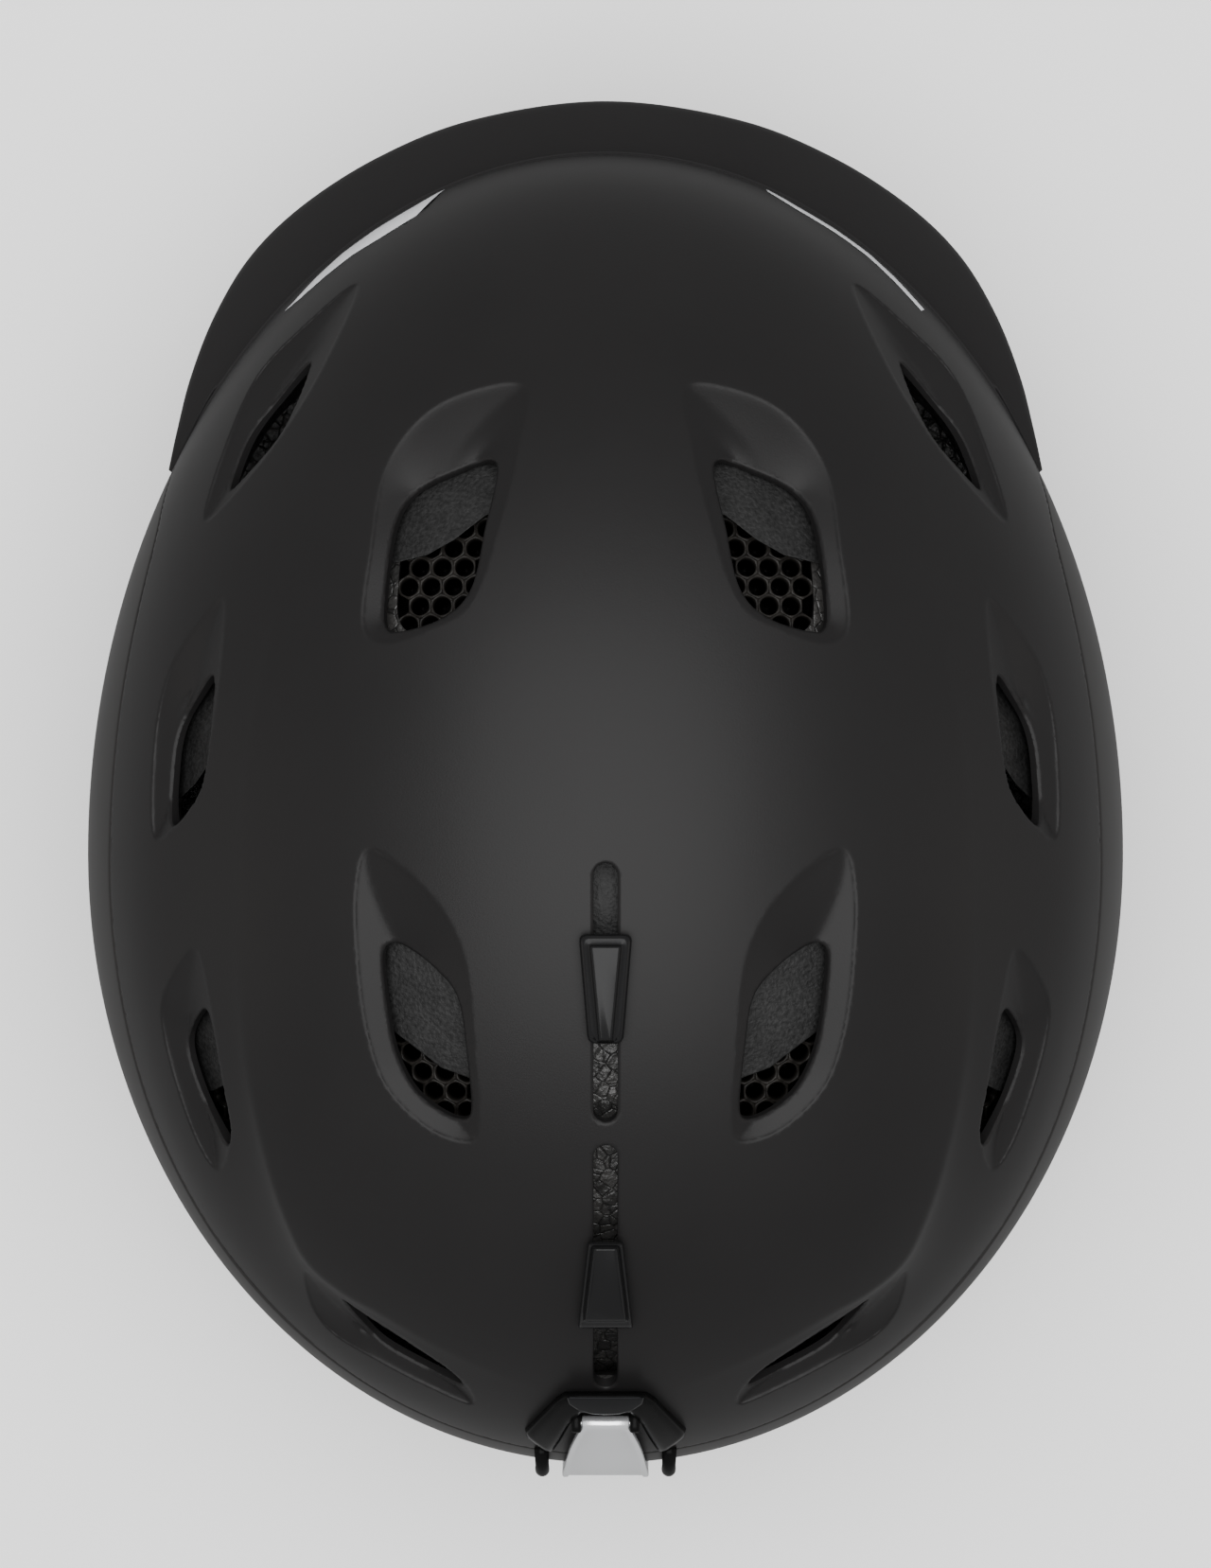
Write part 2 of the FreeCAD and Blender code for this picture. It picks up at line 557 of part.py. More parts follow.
FLAP_Y, FLAP_Z = 129.4, 144.6            # hinge line of the flap
FLAP_THICK = 1.6
FLAP_PROFILE = [(129.4, 144.6), (133.9, 138.0), (137.2, 132.0), (139.7, 126.5), (141.6, 120.0),
                (142.7, 112.0), (142.9, 104.0), (142.9, 62.0)]


def thick_strip(points, thick):
    """Outline of a strip of even thickness laid on the outer side of an open (y, z) line."""
    outer = []
    for i, (y, z) in enumerate(points):
        y0, z0 = points[max(i - 1, 0)]
        y1, z1 = points[min(i + 1, len(points) - 1)]
        run = math.hypot(y1 - y0, z1 - z0)
        outer.append((y - (z1 - z0) / run * thick, z + (y1 - y0) / run * thick))
    return points + outer[::-1]


flap_plate = side_prism(thick_strip(FLAP_PROFILE, FLAP_THICK), -12, 12)
FLAP_FRONT = [(-4.6, 150), (4.6, 150), (4.6, 139.2), (8.4, 118), (9.0, 100), (9.0, 66), (7.0, 62), (-7.0, 62),
              (-9.0, 66), (-9.0, 100), (-8.4, 118), (-4.6, 139.2)]
flap_window = Part.Face(Part.makePolygon([Vector(x, 120, z) for x, z in FLAP_FRONT + FLAP_FRONT[:1]]))
flap_cut = flap_plate.common(flap_window.extrude(Vector(0, 40, 0)))
flap_barrel = Part.makeCylinder(1.5, 9.6, Vector(-4.8, FLAP_Y, FLAP_Z + 0.3), X_AXIS)
flap_lip = side_prism([(141.0, 62.0), (143.5, 62.0), (143.5, 64.5), (141.0, 63.2)], -7, 7)
flap_pin_hole = Part.makeCylinder(0.82, 20, Vector(-10, FLAP_Y, FLAP_Z + 0.3), X_AXIS)
shape("goggle_clip_flap", flap_cut.fuse([flap_barrel, flap_lip]).cut(flap_pin_hole).removeSplitter())
cylinder("goggle_clip_pin", 0.8, (-6.6, FLAP_Y, FLAP_Z + 0.3), X_AXIS, 13.2)
clip_ears = [box("clip_ear_" + side, (sign * 5.9 - 0.9, FLAP_Y - 2.2, FLAP_Z - 4.5),
                 (sign * 5.9 + 0.9, FLAP_Y + 2.0, FLAP_Z + 2.2)) for side, sign in SIDES]
clip_pin_tool = cylinder("clip_pin_tool", 0.8, (-6.6, FLAP_Y, FLAP_Z + 0.3), X_AXIS, 13.2)
flap_room = shape("flap_room", Part.makeCylinder(2.3, 10.0, Vector(-5.0, FLAP_Y, FLAP_Z + 0.3), X_AXIS))
clip_cleared = cut("clip_cleared", clip_arch, flap_room)
clip_feet = [cylinder("clip_foot_" + side, 1.5, (sign * 13.2, 137.2, 124.0),
                      Vector(0, 0.36, -0.933), 18.0) for side, sign in SIDES]
clip_fused = join("clip_fused", [clip_cleared] + clip_ears + clip_feet)
clip_drilled = cut("clip_drilled", clip_fused, clip_pin_tool)
cut("goggle_clip_base", clip_drilled, outer_form)
CLIP_BAR = [(0, 123.0), (7.8, 123.0), (7.4, 124.6), (5.4, 126.1), (2.8, 126.9), (0, 127.1)]
bar_outline = CLIP_BAR + [(-x, y) for x, y in reversed(CLIP_BAR) if x]
bar_layer = cut("bar_layer", dome("bar_over", "-3.5"), clip_over)
bar_blank = common("bar_blank", bar_layer, shape("bar_prism", plan_prism(bar_outline, 130, smooth=False)))
cut("goggle_clip_bar", bar_blank, flap_room)

# ---------------------------------------------------------------- comfort pads in the cavity
COMFORT = size("comfort_thick")


def cavity_ellipsoid(name, inset):
    obj = doc.addObject("Part::Ellipsoid", name)
    obj.setExpression("Radius1", "sizes.head_half_width - (%s)" % inset)
    obj.setExpression("Radius2", "sizes.head_rise - (%s)" % inset)
    obj.setExpression("Radius3", "sizes.head_half_length - (%s)" % inset)
    obj.Placement = Placement(Vector(0, size("head_y"), WIDEST_Z), LYING)
    return obj


pad_outer = cavity_ellipsoid("pad_outer", "0.0")
pad_inner = cavity_ellipsoid("pad_inner", "sizes.comfort_thick")
pad_layer = cut("pad_layer", pad_outer, pad_inner)
CROWN_PAD = [(-13, -34), (13, -34), (17, -14), (15, 6), (17, 30), (12, 48), (-12, 48), (-17, 30),
             (-15, 6), (-17, -14)]
SIDE_PAD = [(26, -46), (44, -40), (60, -20), (64, 4), (60, 30), (44, 52), (28, 60), (30, 40), (46, 22),
            (50, 4), (46, -14), (30, -30)]
common("crown_pad", pad_layer, shape("crown_pad_prism", plan_prism(CROWN_PAD, 120)))
side_pad = common("side_pad_left", pad_layer, shape("side_pad_prism", plan_prism(SIDE_PAD, 100)))
mirror("side_pad_right", side_pad)
brow_zone = box("brow_zone", (-62, -120, WIDEST_Z - 1), (62, -42, WIDEST_Z + 20))
common("brow_pad", pad_layer, brow_zone)
nape_zone = box("nape_zone", (-40, 80, 44), (40, 130, 66))
common("nape_pad", cut("nape_band", oval_prism("nape_outer", 0.0, 40, 80),
                       oval_prism("nape_inner", COMFORT, 40, 80)), nape_zone)

# ---------------------------------------------------------------- fit system
# A cradle behind the head runs in two guides; turning its dial draws it forward.
GUIDE_Z = 89.0
GUIDE_REAR = 31.0
CRADLE_Y = 84.0
for side, sign in SIDES:
    guide = box("guide_block_" + side, (sign * 76.0 - 5.0, -10, GUIDE_Z - 8),
                (sign * 76.0 + 5.0, GUIDE_REAR, GUIDE_Z + 4))
    guide_slot = box("guide_slot_" + side, (sign * 73.6 - 1.3, -12, GUIDE_Z - 5.3),
                     (sign * 73.6 + 1.3, GUIDE_REAR + 2, GUIDE_Z + 0.3))
    cut("fit_guide_" + side, cut("guide_trim_" + side, guide, guide_slot), foam_whole)


def cradle_arm(sign):
    """Arm from the cradle forward into its guide, of even thickness, seen in plan."""
    inner = [(34, CRADLE_Y - 1.0), (52, 76), (64.4, 61), (72.6, 45), (72.6, 6)]
    outer = [(74.6, 6), (74.6, 45.4), (66.2, 62.2), (53.4, 77.6), (34, CRADLE_Y + 1.4)]
    corners = [Vector(sign * x, y, GUIDE_Z - 5.0) for x, y in inner + outer]
    return Part.Face(Part.makePolygon(corners + corners[:1])).extrude(Vector(0, 0, 5.0))


cradle_plate = side_prism([(CRADLE_Y - 1.0, 89), (CRADLE_Y + 1.6, 89), (CRADLE_Y + 0.6, 48),
                           (CRADLE_Y - 2.0, 48)], -36, 36)
cradle_corners = [(-36, 84), (-36, 89), (36, 89), (36, 84), (24, 62), (26, 48), (-26, 48), (-24, 62)]
cradle_face = Part.Face(Part.makePolygon([Vector(x, 60, z) for x, z in cradle_corners + cradle_corners[:1]]))
cradle_body = cradle_plate.common(cradle_face.extrude(Vector(0, 50, 0)))
DIAL_Z = 69.0
spindle = Part.makeCylinder(3.0, 9.2, Vector(0, CRADLE_Y + 1.0, DIAL_Z), Y_AXIS)
shape("fit_cradle", cradle_body.fuse([cradle_arm(1), cradle_arm(-1), spindle]).removeSplitter())
shape("cradle_pad", side_prism([(CRADLE_Y - 8.0, 86), (CRADLE_Y - 1.2, 86), (CRADLE_Y - 2.0, 50),
                                (CRADLE_Y - 8.0, 50)], -23, 23))
dial_ring = Part.makeCylinder(size("dial_radius"), 7.0, Vector(0, CRADLE_Y + 2.4, DIAL_Z), Y_AXIS)
dial_bore = Part.makeCylinder(3.06, 20, Vector(0, CRADLE_Y - 2, DIAL_Z), Y_AXIS)
dial_grips = []
for step in range(16):
    angle = math.radians(step * 22.5)
    spot = Vector(math.cos(angle) * 18.1, 0, math.sin(angle) * 18.1)
    dial_grips.append(Part.makeCylinder(2.1, 12, Vector(spot.x, CRADLE_Y, DIAL_Z + spot.z), Y_AXIS))
shape("fit_dial", dial_ring.cut(Part.makeCompound([dial_bore] + dial_grips)))
shape("dial_cap", Part.makeCylinder(5.5, 1.6, Vector(0, CRADLE_Y + 10.2, DIAL_Z), Y_AXIS))

# ---------------------------------------------------------------- ear pads
EAR_HALF = 8.0              # half of an ear pad's thickness, and the radius of its rounded top
EAR_LEAN = 8.0              # how far its foot leans inwards
EAR_OUTLINE = [(-26, EAR_Z), (34, EAR_Z), (34, 64), (38, 56), (36, 34), (28, 12), (14, 0), (-14, 0),
               (-28, 12), (-34, 34), (-34, 56), (-26, 64)]
for side, sign in SIDES:
    edge = sign * EAR_X
    mount_box("ear_mount_", side, EAR_Z + 8.4, 86)
    barrel = Part.makeCylinder(EAR_HALF, 60, Vector(edge, -26, EAR_Z), Y_AXIS)
    foot = edge - sign * EAR_LEAN
    section = [Vector(edge - EAR_HALF, -50, EAR_Z), Vector(edge + EAR_HALF, -50, EAR_Z),
               Vector(foot + EAR_HALF, -50, 0), Vector(foot - EAR_HALF, -50, 0)]
    slab = Part.Face(Part.makePolygon(section + section[:1])).extrude(Vector(0, 100, 0))
    flap = slab.common(side_prism(EAR_OUTLINE, edge - 30, edge + 30))
    hole = Part.makeCylinder(1.56, 90, Vector(edge, -50, EAR_Z), Y_AXIS)
    shape("ear_pad_" + side, flap.fuse(barrel).removeSplitter().cut(hole))
    hinge = Part.makeCylinder(1.5, 67, Vector(edge, -29.5, EAR_Z), Y_AXIS)
    lugs = [Part.makeBox(5, 2.6, 11, Vector(edge - 2.5, y, EAR_Z - 2.6)) for y in (-29.6, 35.0)]
    shape("ear_hinge_" + side, lugs[0].fuse([lugs[1], hinge]).removeSplitter())

# ---------------------------------------------------------------- strap anchors, side straps, dividers
STRAP_WIDTH = size("strap_width")
STRAP_THICK = size("strap_thick")
DIVIDER_X = size("divider_x")
DIVIDER_Y = 6.0
RIVET_Z = size("divider_z")
RIVET_R = 2.0
SIDE_STRAP_WIDTH = 10.0
ANCHORS = {"front": (-27.0, 82.0, -7.0), "rear": (46.0, 73.0, 7.0)}     # y, z, and the foot's y offset


def webbing(foot, top, out):
    """A straight piece of flat side webbing from foot to top, its flat side facing out."""
    along = (top - foot).normalize()
    flat = (out - along * out.dot(along)).normalize()
    across = along.cross(flat)
    corners = [foot + across * (s * SIDE_STRAP_WIDTH / 2) + flat * (t * STRAP_THICK / 2)
               for s, t in ((-1, -1), (1, -1), (1, 1), (-1, 1))]
    return Part.Face(Part.makePolygon(corners + corners[:1])).extrude(top - foot)


for side, sign in SIDES:
    out = Vector(sign, 0, 0)
    plate = side_prism([(DIVIDER_Y - 13, RIVET_Z + 12), (DIVIDER_Y + 13, RIVET_Z + 12),
                        (DIVIDER_Y + 13, RIVET_Z + 8), (DIVIDER_Y + 6, RIVET_Z - 6),
                        (DIVIDER_Y - 6, RIVET_Z - 6), (DIVIDER_Y - 13, RIVET_Z + 8)],
                       sign * DIVIDER_X - 1.2, sign * DIVIDER_X + 1.2)
    rivet_hole = Part.makeCylinder(RIVET_R, 20, Vector(sign * DIVIDER_X - 10, DIVIDER_Y, RIVET_Z), X_AXIS)
    shape("strap_divider_" + side, plate.cut(rivet_hole))
    for run, (y, z, shift) in ANCHORS.items():
        foot = Vector(sign * DIVIDER_X, DIVIDER_Y + shift, RIVET_Z + 14.5)
        strap = webbing(foot, Vector(sign * 69.0, y, z), out)
        shape("strap_%s_%s" % (run, side), strap.cut(plate))
        block = box("anchor_block_%s_%s" % (run, side), (min(sign * 70.6, sign * 82), y - 6, z - 3),
                    (max(sign * 70.6, sign * 82), y + 6, z + 6))
        cut("strap_anchor_%s_%s" % (run, side), block, foam_whole)
    inside = Vector(sign * (DIVIDER_X - 1.2), DIVIDER_Y, RIVET_Z)
    shank = Part.makeCylinder(RIVET_R, 5.0, inside, out)
    inner_head = Part.makeCylinder(4.0, 1.0, inside, -out)
    outer_head = Part.makeCylinder(4.0, 1.0, inside + out * 4.7, out)
    shape("strap_rivet_" + side, shank.fuse([inner_head, outer_head]).removeSplitter())

# ---------------------------------------------------------------- chin strap, swinging on the rivets
WEB_X = DIVIDER_X + 2.3          # centre of the upright runs
WEB_Z = 4.0                      # centre of the level run near the table
BEND = 20.0                      # radius of the webbing's bends
BUCKLE = (12.0, 36.0)            # the socket lies from x to x, on the wearer's left
TONGUE_END = -8.0


def chin_web(sign, inner_x):
    """Half of the chin webbing: an upright run, a quarter bend and a level run to inner_x."""
    low = DIVIDER_Y - STRAP_WIDTH / 2
    half = STRAP_THICK / 2
    upright = Part.makeBox(STRAP_THICK, STRAP_WIDTH, RIVET_Z + 4 - WEB_Z - BEND,
                           Vector(WEB_X - half, low, WEB_Z + BEND))
    centre = Vector(WEB_X - BEND, low, WEB_Z + BEND)
    ring = Part.makeCylinder(BEND + half, STRAP_WIDTH, centre, Y_AXIS).cut(
        Part.makeCylinder(BEND - half, STRAP_WIDTH, centre, Y_AXIS))
    quarter = ring.common(Part.makeBox(BEND * 2, STRAP_WIDTH, BEND * 2,
                                       centre - Vector(0, 0, BEND * 2)))
    level = Part.makeBox(WEB_X - BEND - inner_x, STRAP_WIDTH, STRAP_THICK,
                         Vector(inner_x, low, WEB_Z - half))
    hole = Part.makeCylinder(RIVET_R + 0.06, 10, Vector(WEB_X - 5, DIVIDER_Y, RIVET_Z), X_AXIS)
    web = upright.fuse([quarter, level]).removeSplitter().cut(hole)
    return web if sign > 0 else web.mirror(Vector(0, 0, 0), X_AXIS)


shape("chin_webbing_left", chin_web(LEFT, BUCKLE[1]))
shape("chin_webbing_right", chin_web(RIGHT, -TONGUE_END))
socket = Part.makeBox(BUCKLE[1] - BUCKLE[0], 24.0, 8.0, Vector(BUCKLE[0], DIVIDER_Y - 12, 0.5))
socket_mouth = Part.makeBox(19.0, 17.2, 3.2, Vector(BUCKLE[0] - 1, DIVIDER_Y - 8.6, 2.4))
button_well = Part.makeBox(9.6, 10.6, 8.0, Vector(BUCKLE[0] + 6.2, DIVIDER_Y - 5.3, 5.0))
shape("buckle_socket", socket.cut(socket_mouth.fuse(button_well)))
button = Part.makeBox(9.0, 10.0, 2.6, Vector(BUCKLE[0] + 6.5, DIVIDER_Y - 5.0, 7.0))
shape("buckle_button", button)
blade = Part.makeBox(18.0, 16.6, 2.6, Vector(BUCKLE[0] - 1.5, DIVIDER_Y - 8.3, 2.7))
grip = Part.makeBox(BUCKLE[0] - 0.4 - TONGUE_END, 20.0, 6.4, Vector(TONGUE_END, DIVIDER_Y - 10, 0.8))
shape("buckle_tongue", blade.fuse(grip).removeSplitter())
sleeve = Part.makeBox(31.0, 21.0, 7.0, Vector(-41.0, DIVIDER_Y - 10.5, 0.5))
sleeve_bore = Part.makeBox(40.0, STRAP_WIDTH, STRAP_THICK,
                           Vector(-45.0, DIVIDER_Y - STRAP_WIDTH / 2, WEB_Z - STRAP_THICK / 2))
shape("chin_pad", sleeve.cut(sleeve_bore))
keeper = Part.makeBox(STRAP_THICK + 2.4, STRAP_WIDTH + 2.4, 6.0,
                      Vector(WEB_X - STRAP_THICK / 2 - 1.2, DIVIDER_Y - STRAP_WIDTH / 2 - 1.2, 31.0))
keeper_bore = Part.makeBox(STRAP_THICK, STRAP_WIDTH, 10.0,
                           Vector(WEB_X - STRAP_THICK / 2, DIVIDER_Y - STRAP_WIDTH / 2, 29.0))
shape("strap_keeper", keeper.cut(keeper_bore))

# ---------------------------------------------------------------- finish
NODES = ["upper_shell", "lower_shell", "accent_strip_left", "accent_strip_right", "brim",
         "eps_crown_front", "eps_crown_rear", "eps_skirt",
         "front_shutter", "front_slider_knob", "front_slider_screw", "rear_shutter",
         "rear_slider_knob", "rear_slider_screw", "goggle_clip_base", "goggle_clip_flap",
         "goggle_clip_pin", "goggle_clip_bar", "crown_pad", "side_pad_left", "side_pad_right",
         "brow_pad", "nape_pad", "fit_guide_left", "fit_guide_right", "fit_cradle", "cradle_pad",
         "fit_dial", "dial_cap"]
for zone in CORES:
    for side, _ in SIDES:
        NODES.append("tube_core_%s_%s" % (zone, side))
NODES += ["buckle_socket", "buckle_button", "buckle_tongue", "chin_pad", "strap_keeper"]
for side, _ in SIDES:
    NODES += [name + side for name in (
        "ear_mount_", "ear_pad_", "ear_hinge_", "strap_front_", "strap_rear_", "strap_anchor_front_",
        "strap_anchor_rear_", "strap_divider_", "strap_rivet_", "chin_webbing_")]

doc.recompute()
for obj in doc.Objects:
    if "Invalid" in obj.State or "Error" in obj.State:
        raise RuntimeError("%s failed: %s" % (obj.Name, obj.State))
os.makedirs("parts", exist_ok=True)
for name in NODES:
    obj = doc.getObject(name)
    obj.Label = name
    solid = obj.Shape
    if solid.isNull() or not solid.isValid():
        raise RuntimeError("%s has no sound shape" % name)
    print("%-24s solids %d  volume %.1f cm3" % (name, len(solid.Solids), solid.Volume / 1000))
    solid.exportStep("parts/%s.step" % name)
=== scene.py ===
"""Looks of a ski helmet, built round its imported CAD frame.

The shape functions work in millimetres in the CAD's frame (+Z up, brim towards -Y, wearer's left +X)
and make_piece turns them into metres.
"""
import math

import bpy
import numpy as np
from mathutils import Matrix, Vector
from mathutils.bvhtree import BVHTree
from mathutils.geometry import delaunay_2d_cdt


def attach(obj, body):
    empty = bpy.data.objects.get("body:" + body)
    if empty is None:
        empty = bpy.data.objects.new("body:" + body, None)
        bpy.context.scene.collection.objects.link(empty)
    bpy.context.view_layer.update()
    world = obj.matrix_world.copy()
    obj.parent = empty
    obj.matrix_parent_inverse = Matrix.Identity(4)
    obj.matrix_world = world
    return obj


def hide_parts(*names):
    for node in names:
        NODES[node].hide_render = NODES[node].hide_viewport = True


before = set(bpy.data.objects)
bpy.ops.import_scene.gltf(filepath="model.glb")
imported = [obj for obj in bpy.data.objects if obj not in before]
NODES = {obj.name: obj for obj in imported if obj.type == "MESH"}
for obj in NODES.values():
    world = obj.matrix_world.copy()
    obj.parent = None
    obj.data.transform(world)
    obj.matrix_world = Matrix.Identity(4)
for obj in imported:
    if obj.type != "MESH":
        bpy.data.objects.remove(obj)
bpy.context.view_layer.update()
MM = 0.001

# ---------------------------------------------------------------- outer form, as in the CAD
HALF_WIDTH = 109.0
FRONT_REACH = 147.0
REAR_REACH = 128.5
CROWN_RISE = 105.0
CENTRE_Y = 14.4
WIDEST_Z = 95.0

# Side profiles (y, z): the lower rim of the helmet and the seam between its two shells.
RIM = [(-150, 94), (-128, 92), (-95, 90), (-60, 80), (-20, 78), (25, 80),
       (48, 68), (70, 45), (95, 37), (150, 39)]
SEAM = [(-150, 98), (-100, 99), (-70, 106), (-48, 126), (-8, 133), (35, 132),
        (75, 126), (105, 123), (150, 122)]

# ---------------------------------------------------------------- vents, left side, plan outlines
VENTS = {
    "top_front": {
        "recess": [(16.0, -78.5), (28, -77.3), (37.4, -71.7), (43.9, -61.3), (46.2, -46.1),
                   (47.6, -31.5), (43.5, -27.6), (35, -30), (26.3, -35.5), (21.2, -49.5), (17.1, -66.5)],
        "opening": [(21.6, -63.2), (29.7, -61.5), (37.8, -57.3), (41.6, -51), (43.3, -38.5),
                    (43.2, -30.9), (39.5, -30.0), (31.3, -32.8), (26.3, -38.3), (23.8, -49.5)],
        "floor": 3.9, "chamfer": 0.5, "wall": None, "steep": 0.45,
    },
    "side_front": {
        "recess": [(50.5, -101.8), (61.9, -93.4), (71.7, -82.9), (78, -67), (81.3, -54.0),
                   (77.3, -55.9), (66.6, -68.1), (57.2, -83.5)],
        "opening": [(60.0, -85.6), (67.1, -78.2), (72.8, -70.5), (76.2, -60.0), (72.1, -62.9),
                    (64.7, -72)],
        "floor": 3.6, "chamfer": 0.8, "wall": None, "steep": 0.3,
    },
    "side_middle": {
        "recess": [(76.5, -37.0), (82.6, -31.3), (88.1, -22.5), (91, -9.2), (91.2, 10.2),
                   (86.1, 8), (81, 0.4), (78.7, -10.9), (76.9, -24.1)],
        "opening": [(78.7, -21.7), (82.3, -17.6), (85.9, -11), (87.3, -3.4), (87.4, 8.0),
                    (83, 4.2), (80.4, -1.5), (79, -12.8)],
        "floor": 2.3, "chamfer": 2.6, "wall": None, "steep": 0.32,
    },
    "top_rear": {
        "recess": [(46.0, 12.5), (48.7, 20.6), (48.2, 37.3), (46.2, 50.3), (42.6, 59.6), (35.2, 67),
                   (27.7, 69.9), (24.9, 67), (25.7, 50), (27.1, 35.2), (31.2, 25.1), (38.6, 16.9)],
        "opening": [(42.0, 31.1), (43.6, 34.0), (42.4, 46.5), (40.6, 53.9), (37, 60.4), (31.4, 64.6),
                    (27.4, 65.5), (26.3, 62.5), (27.2, 51.8), (28.8, 41.7), (33, 36.2), (38.6, 32.0)],
        "floor": 3.9, "chamfer": 0.5, "wall": (0, 8), "steep": 0.45,
    },
    "side_rear": {
        "recess": [(83.1, 33.1), (87.9, 39.4), (90.0, 46.3), (88.1, 57.9), (83.5, 72.4),
                   (79.2, 78.6), (76.6, 71.7), (77.9, 55.2), (80.7, 36.8)],
        "opening": [(81.0, 45.2), (83.9, 48.8), (84.9, 53.7), (82.9, 61.4), (79.7, 69),
                    (77.0, 73.2), (76.1, 68.7), (77.6, 59.1), (79.3, 48.5)],
        "floor": 2.5, "chamfer": 2.4, "wall": None, "steep": 0.32,
    },
    "rear_low": {
        "recess": [(60.7, 98.4), (60.7, 106.3), (56, 112.9), (46.3, 118), (36.6, 122.7), (27.4, 126.4),
                   (27.8, 122.6), (32.5, 117.9), (41.9, 110.9), (52.5, 104.3)],
        "opening": [(53.2, 104.3), (50.7, 109.1), (46, 114.1), (38.3, 118.3), (29.6, 122.2),
                    (31.5, 118.9), (40.1, 113), (48.7, 107.6)],
        "floor": 2.2, "chamfer": 2.6, "wall": None, "steep": 0.32,
    },
}
VENT_DEPTH = 4.2          # depth of a recess at the edge of its opening
EDGE_STEP, STEP_WIDTH = 0.25, 0.6         # the crisp step along the edge of a recess
CREASE = 0.45             # how much the top of that step is rounded
SLOT_HALF = 2.4
SLOTS = {"front": (15.2, 65.9), "rear": (70.4, 121.7)}
# Edge of the raised centre panel: (x, y, raise of the panel, drop of the band outside it).
CREST = [(62.0, -46, 0.0, 0.0), (66.6, -27, 0.15, 0.3), (71.0, 0, 0.25, 0.5), (72.2, 28.4, 0.35, 0.7),
         (71, 54.9, 0.5, 0.9), (67.1, 76, 0.8, 1.2), (62.7, 89.7, 1.0, 1.4), (59, 96.6, 1.0, 1.4),
         (52.5, 102, 0.9, 1.3), (45.6, 105.9, 0.6, 1.0), (34.2, 112.6, 0.3, 0.5), (22, 118.5, 0.1, 0.2),
         (12, 122.5, 0.0, 0.0)]
PANEL_RUN = 26.0          # how far from the edge the panel's raise, or the band's drop, dies away
CREST_ROUND, FALL_RUN = 1.2, 5.0
BAND_WIDTH, BAND_RETURN = 9.0, 0.85       # where the band starts to rise again, and its share of the drop
ACCENTS = {
    "left": ([(33.6, -124.6), (40, -120.3), (48, -115.6), (55, -110.6), (60.5, -105.2), (66.2, -98.5)],
             [(33.6, -124.6), (38.0, -118.4), (46.9, -112.6), (52.5, -109.4), (58.0, -105.2), (66.2, -98.5)]),
    "right": ([(-33.6, -124.6), (-40, -120.3), (-48, -115.6), (-55, -110.6), (-60.5, -105.2), (-66.2, -98.5)],
              [(-33.9, -123.7), (-39.5, -119.5), (-47.4, -114.8), (-54.3, -109.8), (-59.8, -104.4),
               (-65.5, -97.9)]),
}


# ---------------------------------------------------------------- number helpers
def smooth_step(t):
    """Eases from 0 to 1 as t does."""
    t = np.clip(t, 0, 1)
    return t * t * (3 - 2 * t)


def rounded_drop(away, radius):
    """How far an edge rounded to a radius has dropped, at a distance in from where it ends."""
    away = np.clip(away, 0, radius)
    return radius - np.sqrt(np.clip(radius ** 2 - (radius - away) ** 2, 0, None))


def soft_max(a, b, radius):
    """The larger of two values, rounded where they cross."""
    near = np.clip(radius - np.abs(a - b), 0, None) / radius
    return np.maximum(a, b) + near * near * radius / 4


def lengths(line):
    """How far along a line of points each of them lies."""
    return np.concatenate(([0], np.cumsum(np.linalg.norm(np.diff(line, axis=0), axis=1))))


def at_lengths(line, along, places):
    """Points of a line at given distances along it."""
    return np.stack([np.interp(places, along, column) for column in line.T], 1)


def spline(points, step, closed):
    """A Catmull-Rom curve through the points, sampled about every step; any number of columns."""
    p = np.array(points, float)
    count = len(p)
    if closed:
        p = np.vstack((p[-1], p, p[0], p[1]))
        spans = count
    else:
        p = np.vstack((2 * p[0] - p[1], p, 2 * p[-1] - p[-2]))
        spans = count - 1
    t = np.linspace(0, 1, 24, endpoint=False)[:, None]
    runs = []
    for i in range(spans):
        a, b, c, d = p[i:i + 4]
        runs.append(0.5 * (2 * b + (c - a) * t + (2 * a - 5 * b + 4 * c - d) * t ** 2
                           + (3 * b - a - 3 * c + d) * t ** 3))
    line = np.vstack(runs + [p[1:2] if closed else p[-2:-1]])
    along = lengths(line[:, :2])
    places = np.linspace(0, along[-1], max(int(round(along[-1] / step)), 3) + 1)
    out = at_lengths(line, along, places)
    return out[:-1] if closed else out


def nearest(points, line, closed):
    """Distance of each point to a polyline, and where along it (in segments) the nearest place is."""
    a = line
    b = np.roll(line, -1, axis=0)
    if not closed:
        a, b = a[:-1], b[:-1]
    best = np.full(len(points), 1e9)
    place = np.zeros(len(points))
    ab = b - a
    long2 = (ab ** 2).sum(1) + 1e-12
    for low in range(0, len(points), 4000):
        p = points[low:low + 4000, None, :]
        t = np.clip(((p - a) * ab).sum(2) / long2, 0, 1)
        gap = np.linalg.norm(p - a - t[..., None] * ab, axis=2)
        pick = gap.argmin(1)
        rows = np.arange(len(pick))
        best[low:low + 4000] = gap[rows, pick]
        place[low:low + 4000] = pick + t[rows, pick]
    return best, place


def inside(points, loop):
    """Which points lie inside a closed outline."""
    x, y = points[:, 0], points[:, 1]
    result = np.zeros(len(points), bool)
    x0, y0 = loop[-1]
    for x1, y1 in loop:
        if y0 != y1:
            crosses = (y0 > y) != (y1 > y)
            result ^= crosses & (x < (x1 - x0) * (y - y0) / (y1 - y0) + x0)
        x0, y0 = x1, y1
    return result


